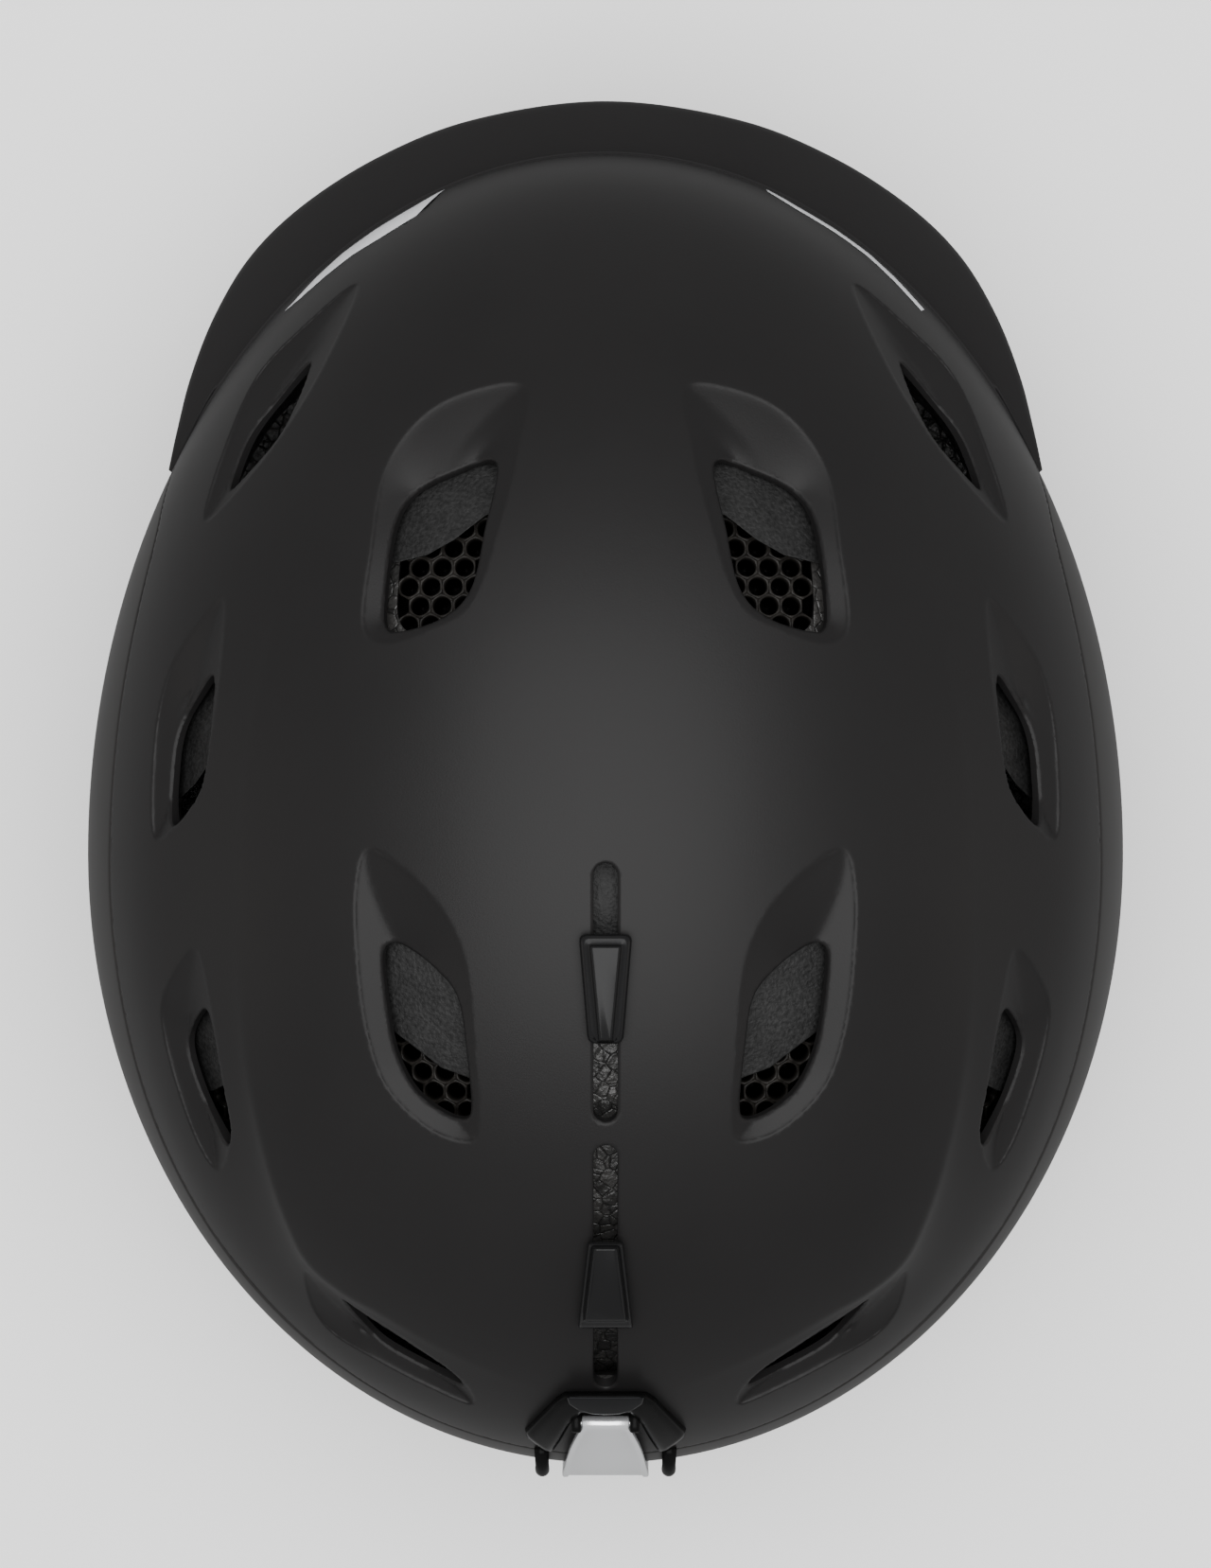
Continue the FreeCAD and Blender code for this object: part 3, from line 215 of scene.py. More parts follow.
def signed(points, loop):
    """Distance to a closed outline, negative inside it."""
    gap, _ = nearest(points, loop, True)
    return np.where(inside(points, loop), -gap, gap)


def circle(count):
    """Points of a unit circle."""
    turns = np.linspace(0, 2 * math.pi, count, endpoint=False)
    return np.stack((np.cos(turns), np.sin(turns)), 1)


def offset_loop(loop, distance, closed=True):
    """The outline moved outwards by distance, without the points that the move brings back near it."""
    ahead, behind = np.roll(loop, -1, axis=0), np.roll(loop, 1, axis=0)
    if not closed:
        ahead[-1], behind[0] = loop[-1], loop[0]
    run = ahead - behind
    run /= np.linalg.norm(run, axis=1)[:, None] + 1e-12
    turn = 1.0
    if closed:
        x, y = loop[:, 0], loop[:, 1]
        turn = np.sign((np.roll(x, 1) * y - x * np.roll(y, 1)).sum())
    moved = loop + np.stack((run[:, 1], -run[:, 0]), 1) * turn * distance
    gap, _ = nearest(moved, loop, closed)
    return moved[gap > abs(distance) * 0.93]


# ---------------------------------------------------------------- the outer form and its flat chart
def reach(v):
    """The form's half length at v: the front half is longer than the rear one."""
    return np.where(v < 0, FRONT_REACH, REAR_REACH)


def to_chart(points):
    """Plan points (x, y) of the upper half, as (u, v) on a chart that keeps areas even."""
    x, y = points[:, 0], points[:, 1] - CENTRE_Y
    up = np.sqrt(np.clip(1 - (x / HALF_WIDTH) ** 2 - (y / reach(y)) ** 2, 0, None))
    grow = np.sqrt(2 / (1 + up))
    return np.stack((x * grow, y * grow), 1)


def form(chart):
    """Places on the outer form, and its outward directions, for points of the chart."""
    u, v = chart[:, 0], chart[:, 1]
    far = reach(v)
    up = 1 - ((u / HALF_WIDTH) ** 2 + (v / far) ** 2) / 2
    shrink = np.sqrt((1 + up) / 2)
    x, y, z = u * shrink, v * shrink, up * CROWN_RISE
    out = np.stack((x / HALF_WIDTH ** 2, y / far ** 2, z / CROWN_RISE ** 2), 1)
    out /= np.linalg.norm(out, axis=1)[:, None]
    return np.stack((x, y + CENTRE_Y, z + WIDEST_Z), 1), out


def level_loop(profile, turns):
    """Chart radii at which the form comes down to a side profile (y, z), for angles round the form."""
    ys, zs = np.array(profile, float).T
    low, high = np.full(len(turns), 0.2), np.full(len(turns), 1.9)
    for _ in range(40):
        mid = (low + high) / 2
        place, _ = form(ring_chart(turns, mid))
        above = place[:, 2] > np.interp(place[:, 1], ys, zs)
        low, high = np.where(above, mid, low), np.where(above, high, mid)
    return low


def ring_chart(turns, radius):
    """Chart points at an angle round the form and a share of its radius."""
    v = np.sin(turns)
    return np.stack((radius * np.cos(turns) * HALF_WIDTH, radius * v * reach(v)), 1)


def smooth_profile(profile):
    """A side profile with its corners eased."""
    return spline(profile, 2.0, False)


# ---------------------------------------------------------------- pieces
MATERIALS = {}


def make_piece(name, verts, faces, body, material, replaces=(), uv=None):
    """A mesh object from millimetre vertices, riding on a body of the frame."""
    mesh = bpy.data.meshes.new(name)
    mesh.from_pydata((np.asarray(verts, float) * MM).tolist(), [], [tuple(map(int, f)) for f in faces])
    mesh.validate()
    if uv is not None:
        layer = mesh.uv_layers.new(name="along")
        loops = np.zeros(len(mesh.loops), np.int32)
        mesh.loops.foreach_get("vertex_index", loops)
        layer.data.foreach_set("uv", np.asarray(uv, np.float32)[loops].ravel())
    mesh.polygons.foreach_set("use_smooth", [True] * len(mesh.polygons))
    obj = bpy.data.objects.new(name, mesh)
    bpy.context.scene.collection.objects.link(obj)
    mesh.materials.append(MATERIALS[material])
    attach(obj, body)
    if replaces:
        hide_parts(*replaces)
    return obj


def grid_faces(rows, cols, wrap=False, start=0):
    """Quads of a grid whose vertices are stored row by row; wrap joins its last column to its first."""
    faces = []
    for r in range(rows - 1):
        for c in range(cols if wrap else cols - 1):
            d = (c + 1) % cols
            faces.append((start + r * cols + c, start + r * cols + d,
                          start + (r + 1) * cols + d, start + (r + 1) * cols + c))
    return faces


def closing_faces(rows, count, start=0):
    """Quads that join the last row of such a grid to its first, its columns joined too."""
    last = start + (rows - 1) * count
    return [(last + i, last + (i + 1) % count, start + (i + 1) % count, start + i) for i in range(count)]


def lofted(rings):
    """Vertices and faces of a closed solid through rings of equal point counts, flat at both ends."""
    count = len(rings[0])
    faces = grid_faces(len(rings), count, wrap=True)
    faces.append(tuple(range(count))[::-1])
    faces.append(tuple((len(rings) - 1) * count + i for i in range(count)))
    return np.vstack(rings), faces


def joined(parts):
    """Several (vertices, faces) lists as one."""
    verts, faces, start = [], [], 0
    for some, theirs in parts:
        verts.append(some)
        faces += [tuple(i + start for i in f) for f in theirs]
        start += len(some)
    return np.vstack(verts), faces


def side_on(x, outline):
    """An outline (y, z) set upright across the helmet at x."""
    return np.column_stack((np.full(len(outline), x), outline))


def add_modifier(obj, kind, **values):
    """Adds a modifier of a kind with these settings."""
    mod = obj.modifiers.new(kind.lower(), kind)
    for key, value in values.items():
        setattr(mod, key, value)


# ---------------------------------------------------------------- materials
class Surface:
    """A principled material under construction; values are constants for its other sockets."""

    def __init__(self, name, colour, roughness, **values):
        mat = bpy.data.materials.new(name)
        mat.use_nodes = True
        self.nodes = mat.node_tree.nodes
        self.links = mat.node_tree.links
        self.shader = self.nodes["Principled BSDF"]
        self.shader.inputs["Base Color"].default_value = (*colour, 1)
        self.shader.inputs["Roughness"].default_value = roughness
        for key, value in values.items():
            self.shader.inputs[key.replace("_", " ")].default_value = value
        MATERIALS[name] = mat

    def drive(self, socket, value):
        """Links a value to one of the shader's inputs."""
        self.links.new(value, self.shader.inputs[socket])

    def texture(self, kind, scale, source="Object", **values):
        """A texture on object coordinates (metres) or on the piece's own UVs (millimetres)."""
        place = self.nodes.new("ShaderNodeTexCoord")
        node = self.nodes.new("ShaderNodeTex" + kind)
        node.inputs["Scale"].default_value = scale
        for key, value in values.items():
            node.inputs[key].default_value = value
        self.links.new(place.outputs[source], node.inputs["Vector"])
        return node

    def noise(self, scale, detail):
        """Noise on object coordinates."""
        return self.texture("Noise", scale, Detail=detail).outputs["Fac"]

    def ramp(self, value, stops):
        """A colour ramp with stops (position, grey or colour)."""
        node = self.nodes.new("ShaderNodeValToRGB")
        band = node.color_ramp
        while len(band.elements) < len(stops):
            band.elements.new(0.5)
        for element, (at, colour) in zip(band.elements, stops):
            element.position = at
            element.color = (*colour, 1) if isinstance(colour, tuple) else (colour, colour, colour, 1)
        self.links.new(value, node.inputs["Fac"])
        return node.outputs["Color"]

    def tint(self, first, second):
        """The base colour as the product of two ramps."""
        mix = self.nodes.new("ShaderNodeMix")
        mix.data_type = "RGBA"
        mix.blend_type = "MULTIPLY"
        mix.inputs["Factor"].default_value = 1.0
        self.links.new(first, mix.inputs["A"])
        self.links.new(second, mix.inputs["B"])
        self.drive("Base Color", mix.outputs["Result"])

    def bump(self, height, distance, after=None):
        """A bump of a height in metres, on top of an earlier one."""
        node = self.nodes.new("ShaderNodeBump")
        node.inputs["Strength"].default_value = 1.0
        node.inputs["Distance"].default_value = distance
        self.links.new(height, node.inputs["Height"])
        if after is not None:
            self.links.new(after, node.inputs["Normal"])
        self.drive("Normal", node.outputs["Normal"])
        return node.outputs["Normal"]


def scaled(colour, factor):
    """A colour made lighter or darker."""
    return tuple(c * factor for c in colour)


def moulded(name, colour, roughness, spread, grain, depth, **values):
    """Moulded plastic or coating: fine grain, and a roughness that wanders a little."""
    surface = Surface(name, colour, roughness, **values)
    cloud = surface.noise(22.0, 4.0)
    surface.drive("Roughness", surface.ramp(cloud, [(0.3, roughness - spread), (0.7, roughness + spread)]))
    stops = [(0.25, scaled(colour, 0.93)), (0.75, scaled(colour, 1.07))]
    surface.drive("Base Color", surface.ramp(cloud, stops))
    surface.bump(surface.noise(grain, 2.0), depth)


def foam():
    """Bead foam: fused beads with darker joints between them, and small pits."""
    surface = Surface("foam", (0.05, 0.05, 0.05), 0.36)
    beads = surface.texture("Voronoi", 380.0)
    joints = surface.texture("Voronoi", 380.0)
    joints.feature = "DISTANCE_TO_EDGE"
    pits = surface.noise(420.0, 4.0)
    tint = surface.ramp(beads.outputs["Color"],
                        [(0.15, (0.022, 0.0215, 0.021)), (0.8, (0.042, 0.0405, 0.039))])
    seam = surface.ramp(joints.outputs["Distance"], [(0.0, 0.55), (0.09, 1.0)])
    surface.tint(tint, seam)
    first = surface.bump(seam, 0.0003)
    surface.bump(pits, 0.0008, after=first)


def shutter():
    """Textured grey shutters: a fine mottled grain."""
    surface = Surface("shutter", (0.01, 0.01, 0.01), 0.5, Specular_IOR_Level=0.2)
    grain = surface.noise(1300.0, 3.0)
    cloud = surface.noise(170.0, 3.0)
    surface.tint(surface.ramp(grain, [(0.32, 0.0055), (0.7, 0.015)]),
                 surface.ramp(cloud, [(0.3, 0.78), (0.7, 1.15)]))
    surface.bump(grain, 0.0002)


def tube_wall(name, colour, roughness, grain, dark, light, depth):
    """Thin dark plastic of the airflow tubes, slightly mottled."""
    surface = Surface(name, colour, roughness, Specular_IOR_Level=0.16)
    cloud = surface.noise(grain, 2.0)
    surface.drive("Base Color", surface.ramp(cloud, [(0.3, dark), (0.7, light)]))
    surface.bump(cloud, depth)


def webbing():
    """Flat woven webbing; UVs run across (u) and along (v) the strap in millimetres."""
    surface = Surface("webbing", (0.02, 0.02, 0.021), 0.78, Sheen_Weight=0.3)
    ribs = surface.texture("Wave", 0.42, source="UV", Distortion=0.0)
    ribs.bands_direction = "X"
    picks = surface.texture("Wave", 0.36, source="UV", Distortion=0.3)
    picks.bands_direction = "DIAGONAL"
    fuzz = surface.noise(3000.0, 2.0)
    surface.drive("Base Color", surface.ramp(picks.outputs["Fac"], [(0.1, 0.009), (0.9, 0.034)]))
    first = surface.bump(ribs.outputs["Fac"], 0.00022)
    second = surface.bump(picks.outputs["Fac"], 0.00022, after=first)
    surface.bump(fuzz, 0.00008, after=second)


def knit(name, colour, scale, depth, sheen):
    """Knitted or brushed fabric: small loops, fuzz, and slow variation of tone."""
    surface = Surface(name, colour, 0.85, Sheen_Weight=sheen, Sheen_Roughness=0.5)
    loops = surface.texture("Voronoi", scale, Randomness=0.45).outputs["Distance"]
    fuzz = surface.noise(scale * 2.2, 4.0)
    cloud = surface.noise(45.0, 3.0)
    surface.tint(surface.ramp(loops, [(0.0, scaled(colour, 1.25)), (0.6, scaled(colour, 0.6))]),
                 surface.ramp(cloud, [(0.3, 0.8), (0.7, 1.2)]))
    first = surface.bump(loops, -depth)
    surface.bump(fuzz, depth * 0.7, after=first)


moulded("shell", (0.0096, 0.0092, 0.0093), 0.42, 0.02, 2600.0, 0.00002, Specular_IOR_Level=0.135)
moulded("lower_skin", (0.012, 0.0113, 0.011), 0.46, 0.02, 2600.0, 0.00002, Specular_IOR_Level=0.18)
moulded("brim", (0.0115, 0.011, 0.0112), 0.5, 0.02, 2200.0, 0.00003, Specular_IOR_Level=0.09)
moulded("accent", (0.86, 0.87, 0.9), 0.28, 0.03, 1500.0, 0.00001, Metallic=0.35)
moulded("slider", (0.007, 0.007, 0.0073), 0.27, 0.03, 2000.0, 0.00001, Specular_IOR_Level=0.16)
moulded("clip_plastic", (0.004, 0.004, 0.004), 0.28, 0.03, 2200.0, 0.00002, Specular_IOR_Level=0.045)
moulded("satin_chrome", (0.86, 0.87, 0.89), 0.25, 0.03, 1500.0, 0.00001, Metallic=0.8)
moulded("fit_plastic", (0.022, 0.022, 0.024), 0.42, 0.04, 1800.0, 0.00003)
moulded("buckle_plastic", (0.016, 0.016, 0.016), 0.35, 0.04, 1800.0, 0.00003)
moulded("button_plastic", (0.38, 0.035, 0.025), 0.32, 0.03, 1800.0, 0.00002)
moulded("dial_rubber", (0.02, 0.02, 0.021), 0.62, 0.05, 1200.0, 0.00006)
moulded("chrome", (0.024, 0.0245, 0.026), 0.16, 0.03, 900.0, 0.000004, Metallic=1.0)
moulded("steel", (0.5, 0.5, 0.51), 0.3, 0.06, 1600.0, 0.00001, Metallic=1.0)
foam()
shutter()
tube_wall("core", (0.012, 0.011, 0.01), 0.4, 900.0, (0.006, 0.0055, 0.005), (0.012, 0.0105, 0.009),
          0.00005)
# the tops of the tube walls are coloured lighter than the walls: a painted highlight along each rim
tube_wall("core_rim_painted_highlight", (0.1, 0.085, 0.07), 0.42, 700.0, (0.006, 0.0054, 0.0048),
          (0.018, 0.0162, 0.0144), 0.00004)
webbing()
knit("comfort_fabric", (0.022, 0.022, 0.024), 1100.0, 0.0003, 0.35)
knit("ear_fabric", (0.028, 0.028, 0.031), 1500.0, 0.0002, 0.3)
knit("fleece", (0.04, 0.04, 0.044), 520.0, 0.0008, 0.6)
# a dark sheet of painted shade under the tube cores
knit("shade_sheet", (0.012, 0.012, 0.012), 1600.0, 0.0001, 0.1)
knit("piping", (0.014, 0.014, 0.015), 1800.0, 0.0001, 0.2)
knit("thread", (0.06, 0.06, 0.065), 2600.0, 0.0001, 0.2)


# ---------------------------------------------------------------- the upper shell
def both_sides(points):
    """An outline and its mirror image."""
    right = np.array(points, float)
    right[:, 0] *= -1
    return [np.array(points, float), right]


def stadium(y_first, y_last, half):
    """Outline of a slot along Y with round ends."""
    turns = np.radians(np.arange(0, 181, 15))
    rear = np.stack((half * np.cos(turns), y_last - half + half * np.sin(turns)), 1)
    front = np.stack((-half * np.cos(turns), y_first + half - half * np.sin(turns)), 1)
    return np.vstack((rear, front))


def resample(loop, step):
    """A closed polyline with points about every step."""
    closed = np.vstack((loop, loop[:1]))
    along = lengths(closed)
    return at_lengths(closed, along, np.linspace(0, along[-1], int(along[-1] / step) + 1)[:-1])


RECESS_LOOPS = []
OPENING_LOOPS = []
DISHES = []          # for each recess: (floor, chamfer, steepest wall, the line its floor ramps down from)
for vent in VENTS.values():
    for recess, opening in zip(both_sides(vent["recess"]), both_sides(vent["opening"])):
        RECESS_LOOPS.append(resample(to_chart(spline(recess, 0.5, True)), 0.8))
        OPENING_LOOPS.append(resample(to_chart(spline(opening, 0.4, True)), 0.65))
        ramp = None
        if vent["wall"]:
            first, last = vent["wall"]
            ramp = to_chart(spline(np.vstack((recess[last:], recess[:first + 1])), 0.8, False))
        DISHES.append((vent["floor"], vent["chamfer"], vent["steep"], ramp))
SLOT_LOOPS = [resample(to_chart(resample(stadium(first, last, SLOT_HALF), 0.3)), 0.55)
              for first, last in SLOTS.values()]
CREST_LINES = []
for side in (1, -1):
    crest = spline([(side * x, y, rise, drop) for x, y, rise, drop in CREST], 0.9, False)
    CREST_LINES.append((to_chart(crest[:, :2]), crest[:, 2], crest[:, 3], side))
ACCENT_LOOPS = []
for outer, inner in ACCENTS.values():
    ACCENT_LOOPS.append(resample(to_chart(np.vstack((spline(outer, 0.5, False),
                                                     spline(inner, 0.5, False)[::-1][1:-1]))), 0.7))
SEAM_TURNS = np.linspace(0, 2 * math.pi, 760, endpoint=False)
SEAM_RADIUS = level_loop(smooth_profile(SEAM), SEAM_TURNS)


def near_loop(chart, loop, margin):
    """Which points of the chart lie in the loop's box or within a margin of it."""
    low, high = loop.min(0) - margin, loop.max(0) + margin
    return np.flatnonzero(((chart > low) & (chart < high)).all(1))


def vent_depth(chart):
    """Depth of the dished recesses, and how far (0 to 1) each point is towards an opening."""
    depth = np.zeros(len(chart))
    share = np.zeros(len(chart))
    for recess, opening, (floor, chamfer, steep, ramp) in zip(RECESS_LOOPS, OPENING_LOOPS, DISHES):
        pick = near_loop(chart, recess, 4.0)
        if not len(pick):
            continue
        points = chart[pick]
        from_edge = -signed(points, recess)
        to_hole = np.clip(signed(points, opening), 0, None)
        sign = np.sign(from_edge)
        from_ramp = from_edge if ramp is None else nearest(points, ramp, False)[0] * sign
        to_chamfer = np.clip(to_hole - chamfer, 0.25, None)
        slope = (floor - EDGE_STEP) * from_ramp / np.clip(np.abs(from_ramp) + to_chamfer, 0.5, None)
        slope += EDGE_STEP * np.clip(from_ramp / STEP_WIDTH, -1, 1)
        slope += (VENT_DEPTH - floor) * np.clip(1 - to_hole / chamfer, 0, 1)
        slope = np.where(to_hole <= 0, VENT_DEPTH, slope)
        steepest = EDGE_STEP * np.clip(from_edge / STEP_WIDTH, -1, 1) + steep * from_edge
        slope = -soft_max(-slope, -steepest, 0.5)
        dish = np.minimum(soft_max(slope, np.zeros(len(pick)), CREASE), VENT_DEPTH)
        depth[pick] = np.maximum(depth[pick], dish)
        share[pick] = np.maximum(share[pick], np.clip(dish / VENT_DEPTH, 0, 1))
    return depth, share


LIP = 0.45           # radius of the rounded edge round each hole


def lip_depth(chart):
    """The rounded edge where the surface turns down into a vent opening or a slot."""
    depth = np.zeros(len(chart))
    for loop in OPENING_LOOPS + SLOT_LOOPS:
        pick = near_loop(chart, loop, 2.0)
        if not len(pick):
            continue
        depth[pick] = np.maximum(depth[pick], rounded_drop(signed(chart[pick], loop), LIP))
    return depth


def crest_depth(chart):
    """The raised centre panel (negative) and the dropped band outside it (positive)."""
    depth = np.zeros(len(chart))
    for line, rise, drop, side in CREST_LINES:
        pick = np.flatnonzero(chart[:, 0] * side > 0)
        points = chart[pick]
        gap, place = nearest(points, line, False)
        count = len(line) - 1
        step = np.clip(place.astype(int), 0, count - 1)
        run = line[step + 1] - line[step]
        off = points - line[step]
        outwards = np.sign(run[:, 0] * off[:, 1] - run[:, 1] * off[:, 0]) * -side
        away = gap * outwards
        rise_here = np.interp(place, np.arange(count + 1), rise)
        drop_here = np.interp(place, np.arange(count + 1), drop)
        lift = -rise_here * np.where(away < 0, np.exp(-(away / PANEL_RUN) ** 2), 1.0)
        past = soft_max(away, np.zeros(len(pick)), CREST_ROUND)
        fall = (rise_here + drop_here) * (1 - np.exp(-past / FALL_RUN))
        back = drop_here * smooth_step((away - BAND_WIDTH) / PANEL_RUN)
        depth[pick] += lift + fall - back * BAND_RETURN
    return depth


ACCENT_DEPTH = 0.6


def accent_depth(chart):
    """The shallow grooves in which the accent strips lie."""
    depth = np.zeros(len(chart))
    for loop in ACCENT_LOOPS:
        pick = near_loop(chart, loop, 1.5)
        if len(pick):
            depth[pick] = ACCENT_DEPTH * smooth_step(0.5 - signed(chart[pick], loop) / 0.5)
    return depth


SEAM_ROUND = 0.4     # radius of the upper shell's lower edge


def above_seam(chart):
    """How far points of the chart lie above the seam."""
    across, fore = chart[:, 0] / HALF_WIDTH, chart[:, 1] / reach(chart[:, 1])
    edge = np.interp(np.arctan2(fore, across) % (2 * math.pi), np.append(SEAM_TURNS, 2 * math.pi),
                     np.append(SEAM_RADIUS, SEAM_RADIUS[0]))
    return (edge - np.hypot(across, fore)) * HALF_WIDTH


def seam_depth(chart):
    """The upper shell's rounded lower edge."""
    return rounded_drop(above_seam(chart), SEAM_ROUND)


SHELL_THICK, SHELL_THINNING = 2.1, 1.3    # the shell is thinner in its recesses


def relief(chart):
    """The upper shell's outer surface, its outward directions, and its thickness.

    A vent's dish drops straight down, so that its outline in plan stays what it is.
    """
    place, out = form(chart)
    dish, share = vent_depth(chart)
    depth = lip_depth(chart) + crest_depth(chart) + accent_depth(chart) + seam_depth(chart)
    place -= out * depth[:, None]
    place[:, 2] -= dish / np.clip(out[:, 2], 0.35, None)
    return place, out, SHELL_THICK - SHELL_THINNING * share


def hex_points(low, high, pitch):
    """Points of a triangular grid over a box."""
    rows = np.arange(low[1], high[1], pitch * math.sqrt(3) / 2)
    cols = np.arange(low[0], high[0], pitch)
    x, y = np.meshgrid(cols, rows)
    x = x + (np.arange(len(rows)) % 2)[:, None] * pitch / 2
    return np.stack((x.ravel(), y.ravel()), 1)


def thin_out(points, keep, cell):
    """Drops points that share a small cell with an earlier one; the first keep points all stay."""
    seen = set(map(tuple, np.round(points[:keep] / cell).astype(int)))
    out = list(range(keep))
    for i, key in enumerate(map(tuple, np.round(points[keep:] / cell).astype(int)), start=keep):
        if key not in seen:
            seen.add(key)
            out.append(i)
    return points[out]


# Rows of points run beside each kind of edge at these distances from it.
HOLE_ROWS = (0.12, 0.28, 0.5, 0.75, 1.1, 1.7)
RECESS_ROWS = (-3.0, -2.1, -1.4, -0.9, -0.55, -0.25, 0.0, 0.25, 0.55, 0.9, 1.4)
CREST_ROWS = (-5, -3.5, -2.2, -1.3, -0.6, 0.0, 0.6, 1.2, 2.0, 3.0, 4.0, 5.0, 6.2, 7.6, 9.5)
ACCENT_ROWS = (-0.3, -0.1, 0.1, 0.3)
SEAM_ROWS = (0.12, 0.3, 0.55, 0.85, 1.2, 2.0)
RECESS_PITCH, SHELL_PITCH = 1.3, 2.3      # spacing of the points between them
EDGE_ROOM, POINT_ROOM = 0.09, 0.42        # least distance of a point from an edge and from another point


def shell_mesh():
    """Points and triangles of the upper shell's chart, dense along its edges and creases."""
    seam = ring_chart(SEAM_TURNS, SEAM_RADIUS)
    holes = OPENING_LOOPS + SLOT_LOOPS
    bound = [seam] + holes
    loose = [offset_loop(loop, away) for loop in holes for away in HOLE_ROWS]
    loose += [offset_loop(loop, away) if away else loop for loop in RECESS_LOOPS for away in RECESS_ROWS]
    loose += [offset_loop(line, away * side, closed=False) if away else line
              for line, _, _, side in CREST_LINES for away in CREST_ROWS]
    loose += [offset_loop(loop, away) for loop in ACCENT_LOOPS for away in ACCENT_ROWS]
    loose += [ring_chart(SEAM_TURNS, SEAM_RADIUS - away / HALF_WIDTH) for away in SEAM_ROWS]
    for loop in RECESS_LOOPS:
        fill = hex_points(loop.min(0), loop.max(0), RECESS_PITCH)
        loose.append(fill[inside(fill, loop)])
    loose.append(hex_points(seam.min(0), seam.max(0), SHELL_PITCH))
    loose = np.vstack(loose)
    loose = loose[inside(loose, resample(seam, 2.0))]
    clear = np.ones(len(loose), bool)
    for loop in holes:
        pick = near_loop(loose, loop, 1.0)
        clear[pick] &= signed(loose[pick], loop) > EDGE_ROOM
    clear &= above_seam(loose) > EDGE_ROOM
    keep = sum(len(loop) for loop in bound)
    points = thin_out(np.vstack(bound + [loose[clear]]), keep, POINT_ROOM)
    edges, rings, start = [], [], 0
    for loop in bound:
        ring = list(range(start, start + len(loop)))
        rings.append(np.array(ring))
        edges += list(zip(ring, ring[1:] + ring[:1]))
        start += len(loop)
    verts, _, tris, origin, _, _ = delaunay_2d_cdt([Vector(p) for p in points], edges, [], 0, 1e-6)
    assert len(verts) == len(points)
    order = np.array([ids[0] for ids in origin])
    tris = order[np.array(tris)]
    middle = points[tris].mean(1)
    good = inside(middle, seam)
    for loop in holes:
        pick = near_loop(middle, loop, 0.5)
        good[pick] &= ~inside(middle[pick], loop)
    return points, tris[good], rings


def upper_shell():
    """The hard shell: its outer relief, its inner face, and a wall down each edge between them."""
    chart, tris, rings = shell_mesh()
    top, out, thick = relief(chart)
    under = top - out * thick[:, None]
    count = len(chart)
    a, b, c = (chart[tris[:, i]] for i in range(3))
    turn = (b[:, 0] - a[:, 0]) * (c[:, 1] - a[:, 1]) - (b[:, 1] - a[:, 1]) * (c[:, 0] - a[:, 0])
    tris = np.where((turn > 0)[:, None], tris, tris[:, ::-1])
    faces = [tuple(t) for t in tris] + [tuple(t[::-1] + count) for t in tris]
    verts = [top, under]
    start = 2 * count
    for ring in rings:
        # a wall has its own vertices, so that the rounded edge above it stays crisp
        verts += [top[ring], under[ring]]
        size = len(ring)
        x, y = chart[ring].T
        anticlockwise = (np.roll(x, 1) * y - x * np.roll(y, 1)).sum() > 0
        is_hole = ring is not rings[0]
        for i in range(size):
            j = (i + 1) % size
            quad = (start + i, start + j, start + size + j, start + size + i)
            faces.append(quad if anticlockwise == is_hole else quad[::-1])
        start += 2 * size
    make_piece("upper_shell_skin", np.vstack(verts), faces, "helmet", "shell",
               replaces=["upper_shell"])


# ---------------------------------------------------------------- the lower shell
SEAM_GAP = 0.15
TROUGH_Y = 137.4          # the flat trough for the goggle strap at the rear
TROUGH_TOP = 100.0
SKIN_THICK = 1.2
SKIN_EDGE, RIM_ROLL = 0.5, 1.6            # radii of its top edge and of the roll round its rim
RIM_FOLD = ((2.6, 0.7), (5.0, 0.7), (5.4, 0.3), (5.0, -0.4), (2.4, -0.6))    # inwards, below the rim


def press_trough(points, inset=0.0):
    """Flattens the rear below the ledge, where a goggle strap lies."""
    low = smooth_step((TROUGH_TOP + 0.7 - points[:, 2]) / 1.4)
    flat = -soft_max(-points[:, 1], np.full(len(points), inset - TROUGH_Y), 1.4)
    points[:, 1] += (flat - points[:, 1]) * low
    return points


